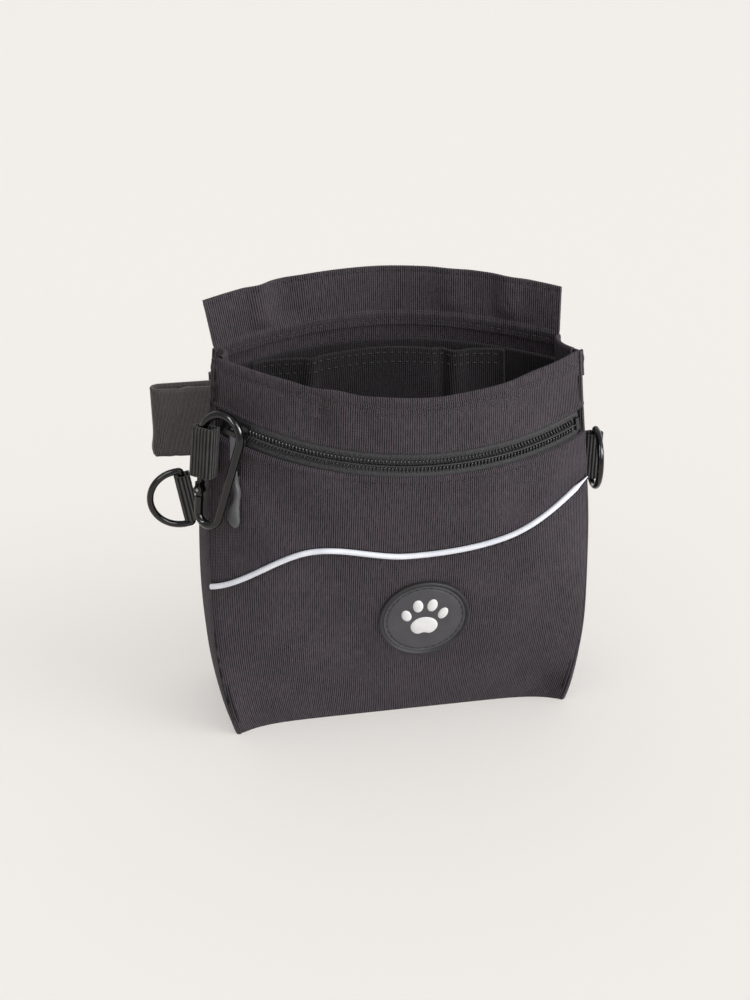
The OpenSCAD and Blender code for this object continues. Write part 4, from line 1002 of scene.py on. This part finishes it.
def belt_relief(run, z, p):
    """The first fold at the left is soft and creased on the slant."""
    outside = smooth((-p.x - 84) / 10) * (1 if p.y < stack_level(0) - 2 else 0)
    slant = (p.x + 98) - (z - BELT_Z) * 0.42
    crease = 1.5 * math.exp(-((slant / 2.0) ** 2)) - 1.2 * math.exp(-(((slant + 4.2) / 2.2) ** 2))
    crease += 0.9 * math.exp(-(((slant - 5.5) / 1.8) ** 2))
    return outside * crease


belt = strap("belt_webbing_strip", belt_line, BELT_Z - BELT_WIDTH / 2, BELT_Z + BELT_WIDTH / 2, Matrix.Identity(4),
             BELT_THICK - 0.2, belt_web, "bag", belt_relief)
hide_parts("waist_belt")

sleeve_high = BELT_WIDTH + 0.6 + 8


def sleeve(s, t):
    x = mix(TUNNEL_HALF, -TUNNEL_HALF, s)
    z = mix(-1, 1, t)
    rise = smooth((1 - abs(z)) * sleeve_high / 2 / 3.5)
    y = tunnel_level(x) + mix(-BELT_THICK / 2 - 0.2, BELT_THICK / 2 + 0.4 + CANVAS, rise)
    return Vector((x, y, BELT_Z + z * sleeve_high / 2))


tunnel = piece(drape(sleeve, 60, 24, lambda s, t, p: 0.25 * frill(p.x * 2, p.z * 2)), "belt_tunnel_cloth",
               canvas, "bag", thick=1.0)
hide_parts("belt_tunnel")


# ---------------------------------------------------------------- stitching
def front_row(v_of, lift, low=-0.96, high=0.97, count=150):
    return [on_front(u, v_of(u), lift) for u in [mix(low, high, k / count) for k in range(count + 1)]]


def below_rim(mm):
    return lambda u: 1 - mm / front_height(u)


stitch_row("rim_stitches_upper", front_row(below_rim(3.6), 0.1), "bag")
stitch_row("rim_stitches_lower", front_row(below_rim(6.6), 0.15), "bag")
stitch_row("zip_stitches_upper", front_row(lambda u: zip_edge(u, 1) + 2.2 / 171, 0.35), "bag")
stitch_row("zip_stitches_lower", front_row(lambda u: zip_edge(u, -1) - 3.4 / 171, 0.25), "bag")
stitch_row("piping_stitches", front_row(lambda u: seam_v(u) - 3.4 / 171, 0.15), "bag")


def flap_place(s, t):
    p = flap_surface(s, t)
    out = normal(flap_surface, s, t, 0.01)
    return p - out * 2.5 + out * (flap_relief(s, t, p) + FLAP_MID) * 1.0, -out


flap_top = [flap_place(mix(0.015, 0.985, k / 120), 0.93) for k in range(121)]
flap_left = [flap_place(0.985, mix(0.2, 0.92, k / 20)) for k in range(21)]
flap_right = [flap_place(0.015, mix(0.2, 0.92, k / 20)) for k in range(21)]
for name, places in (("flap_stitches_top", flap_top), ("flap_stitches_left", flap_left),
                     ("flap_stitches_right", flap_right)):
    stitch_row(name, places, "flap")


def inner_rim_place(mm):
    places = []
    for k in range(121):
        u = mix(0.95, -0.95, k / 120)
        v = 1 - mm / BAG_HEIGHT
        p, out = back(u, v), normal(lambda s, t: back(-s, t), -u, v, start=-1.0)
        places.append((p - out * 2.9, -out))
    return places


stitch_row("back_rim_stitches", inner_rim_place(2.2), "bag")


def pocket_place(s, t):
    p = pocket_surface(s, t)
    out = normal(pocket_surface, s, t)
    return p + out * (pocket_relief(s, t, p) - 1.25), -out


for name, t in (("pocket_stitches_upper", 0.965), ("pocket_stitches_lower", 0.90)):
    stitch_row(name, [pocket_place(mix(0.02, 0.98, k / 90), t) for k in range(91)], "bag")

badge_ring_line = []
for k in range(121):
    a = 2 * math.pi * k / 120
    x, y = (R - 3.6) * math.cos(a), (R - 3.6) * math.sin(a)
    facing_out = on_front((BADGE_OFFSET + x) / half_width(badge_v), badge_v)[1]
    badge_ring_line.append((badge_point(x, y, 1.45), facing_out))
stitch_row("badge_stitches", badge_ring_line, "bag", 2.6, 3.4, 0.45)
for word, z in (("upper", 1), ("lower", -1)):
    row = [(sleeve(mix(0.01, 0.99, k / 60), 0.5 + z * 0.475) + Vector((0, 0.15, 0)), Vector((0, 1, 0)))
           for k in range(61)]
    stitch_row(word + "_tunnel_stitches", row, "bag")


# ---------------------------------------------------------------- every cloth piece's flat cut
# width and length in millimetres; area where the cut is not a rectangle
for name, width, length, share in (
        ("front_upper_cloth", 205, 60, 0.72), ("front_middle_cloth", 200, 62, 0.7),
        ("front_lower_cloth", 190, 122, 0.72), ("back_cloth", 200, 190, 0.86),
        ("left_gusset_cloth", 54, 184, 0.62), ("right_gusset_cloth", 54, 184, 0.68),
        ("bottom_cloth", 160, 62, 0.93), ("flap_cloth", 196, 30, 0.92), ("inner_pocket_cloth", 150, 74, 1),
        ("belt_tunnel_cloth", 118, 46, 1), ("front_lining_cloth", 198, 168, 0.8),
        ("back_lining_cloth", 196, 170, 0.9), ("left_lining_cloth", 54, 168, 0.6),
        ("right_lining_cloth", 54, 168, 0.68), ("bottom_lining_cloth", 156, 58, 0.93),
        ("zip_pocket_cloth", 150, 90, 1), ("belt_webbing_strip", 34, 915, 1)):
    declare_sheet(bpy.data.objects[name], "folded" if "belt_web" in name else "stretched",
                  width * length * share)


# ---------------------------------------------------------------- floor, light and camera
def stage_material():
    material, tree, surface = shader("paper_floor", 0.9, Specular_IOR_Level=0.1)
    surface.inputs["Base Color"].default_value = linear("#f6f2ee")
    return material


floor = bmesh.new()
bmesh.ops.create_grid(floor, x_segments=1, y_segments=1, size=12000)
bmesh.ops.scale(floor, vec=(MM, MM, MM), verts=floor.verts)
floor_mesh = bpy.data.meshes.new("floor")
floor.to_mesh(floor_mesh)
floor.free()
floor_mesh.materials.append(stage_material())
floor_object = bpy.data.objects.new("floor", floor_mesh)
bpy.context.scene.collection.objects.link(floor_object)

scene = bpy.context.scene
scene.view_settings.view_transform = "Standard"
world = bpy.data.worlds.new("studio")
world.use_nodes = True
world.node_tree.nodes["Background"].inputs[0].default_value = (1.0, 0.995, 0.99, 1)
world.node_tree.nodes["Background"].inputs[1].default_value = 0.5
scene.world = world


def light(name, kind, place, aim, energy, size, shadow=True, **settings):
    data = bpy.data.lights.new(name, kind)
    data.energy, data.use_shadow = energy, shadow
    if kind == "SUN":
        data.angle = math.radians(size)
    else:
        data.shape, data.size, data.size_y = "RECTANGLE", size[0], size[1]
    lamp = bpy.data.objects.new(name, data)
    lamp.location = place
    lamp.rotation_euler = (Vector(aim) - Vector(place)).to_track_quat("-Z", "Y").to_euler()
    for key, value in settings.items():
        setattr(lamp, key, value)
    scene.collection.objects.link(lamp)
    return lamp


light("key", "SUN", (1.5, -0.6, 1.3), (0, 0, 0.1), 0.5, 45)
light("fill", "SUN", (1.3, -0.9, 1.0), (0, 0, 0.1), 2.4, 20, shadow=False)
light("window_card", "AREA", (0.5, -0.9, 0.9), (0, 0, 0.1), 9, (0.5, 0.9), visible_diffuse=False)
light("window_strip", "AREA", (-0.6, -0.5, 0.8), (0, 0, 0.1), 4, (0.15, 0.8), visible_diffuse=False)

BAG_AIM = Vector((-0.0088, 0, 0.1036))
CAMERA_TURN, CAMERA_RISE, CAMERA_AWAY = math.radians(-10.2), math.radians(27.2), 0.648
away = Vector((math.sin(CAMERA_TURN) * math.cos(CAMERA_RISE), -math.cos(CAMERA_TURN) * math.cos(CAMERA_RISE),
               math.sin(CAMERA_RISE)))
lens = bpy.data.cameras.new("camera")
lens.lens, lens.sensor_width, lens.clip_start = 49.7, 36, 0.01
camera = bpy.data.objects.new("camera", lens)
camera.location = BAG_AIM + away * CAMERA_AWAY
camera.rotation_euler = (-away).to_track_quat("-Z", "Y").to_euler()
scene.collection.objects.link(camera)
scene.camera = camera
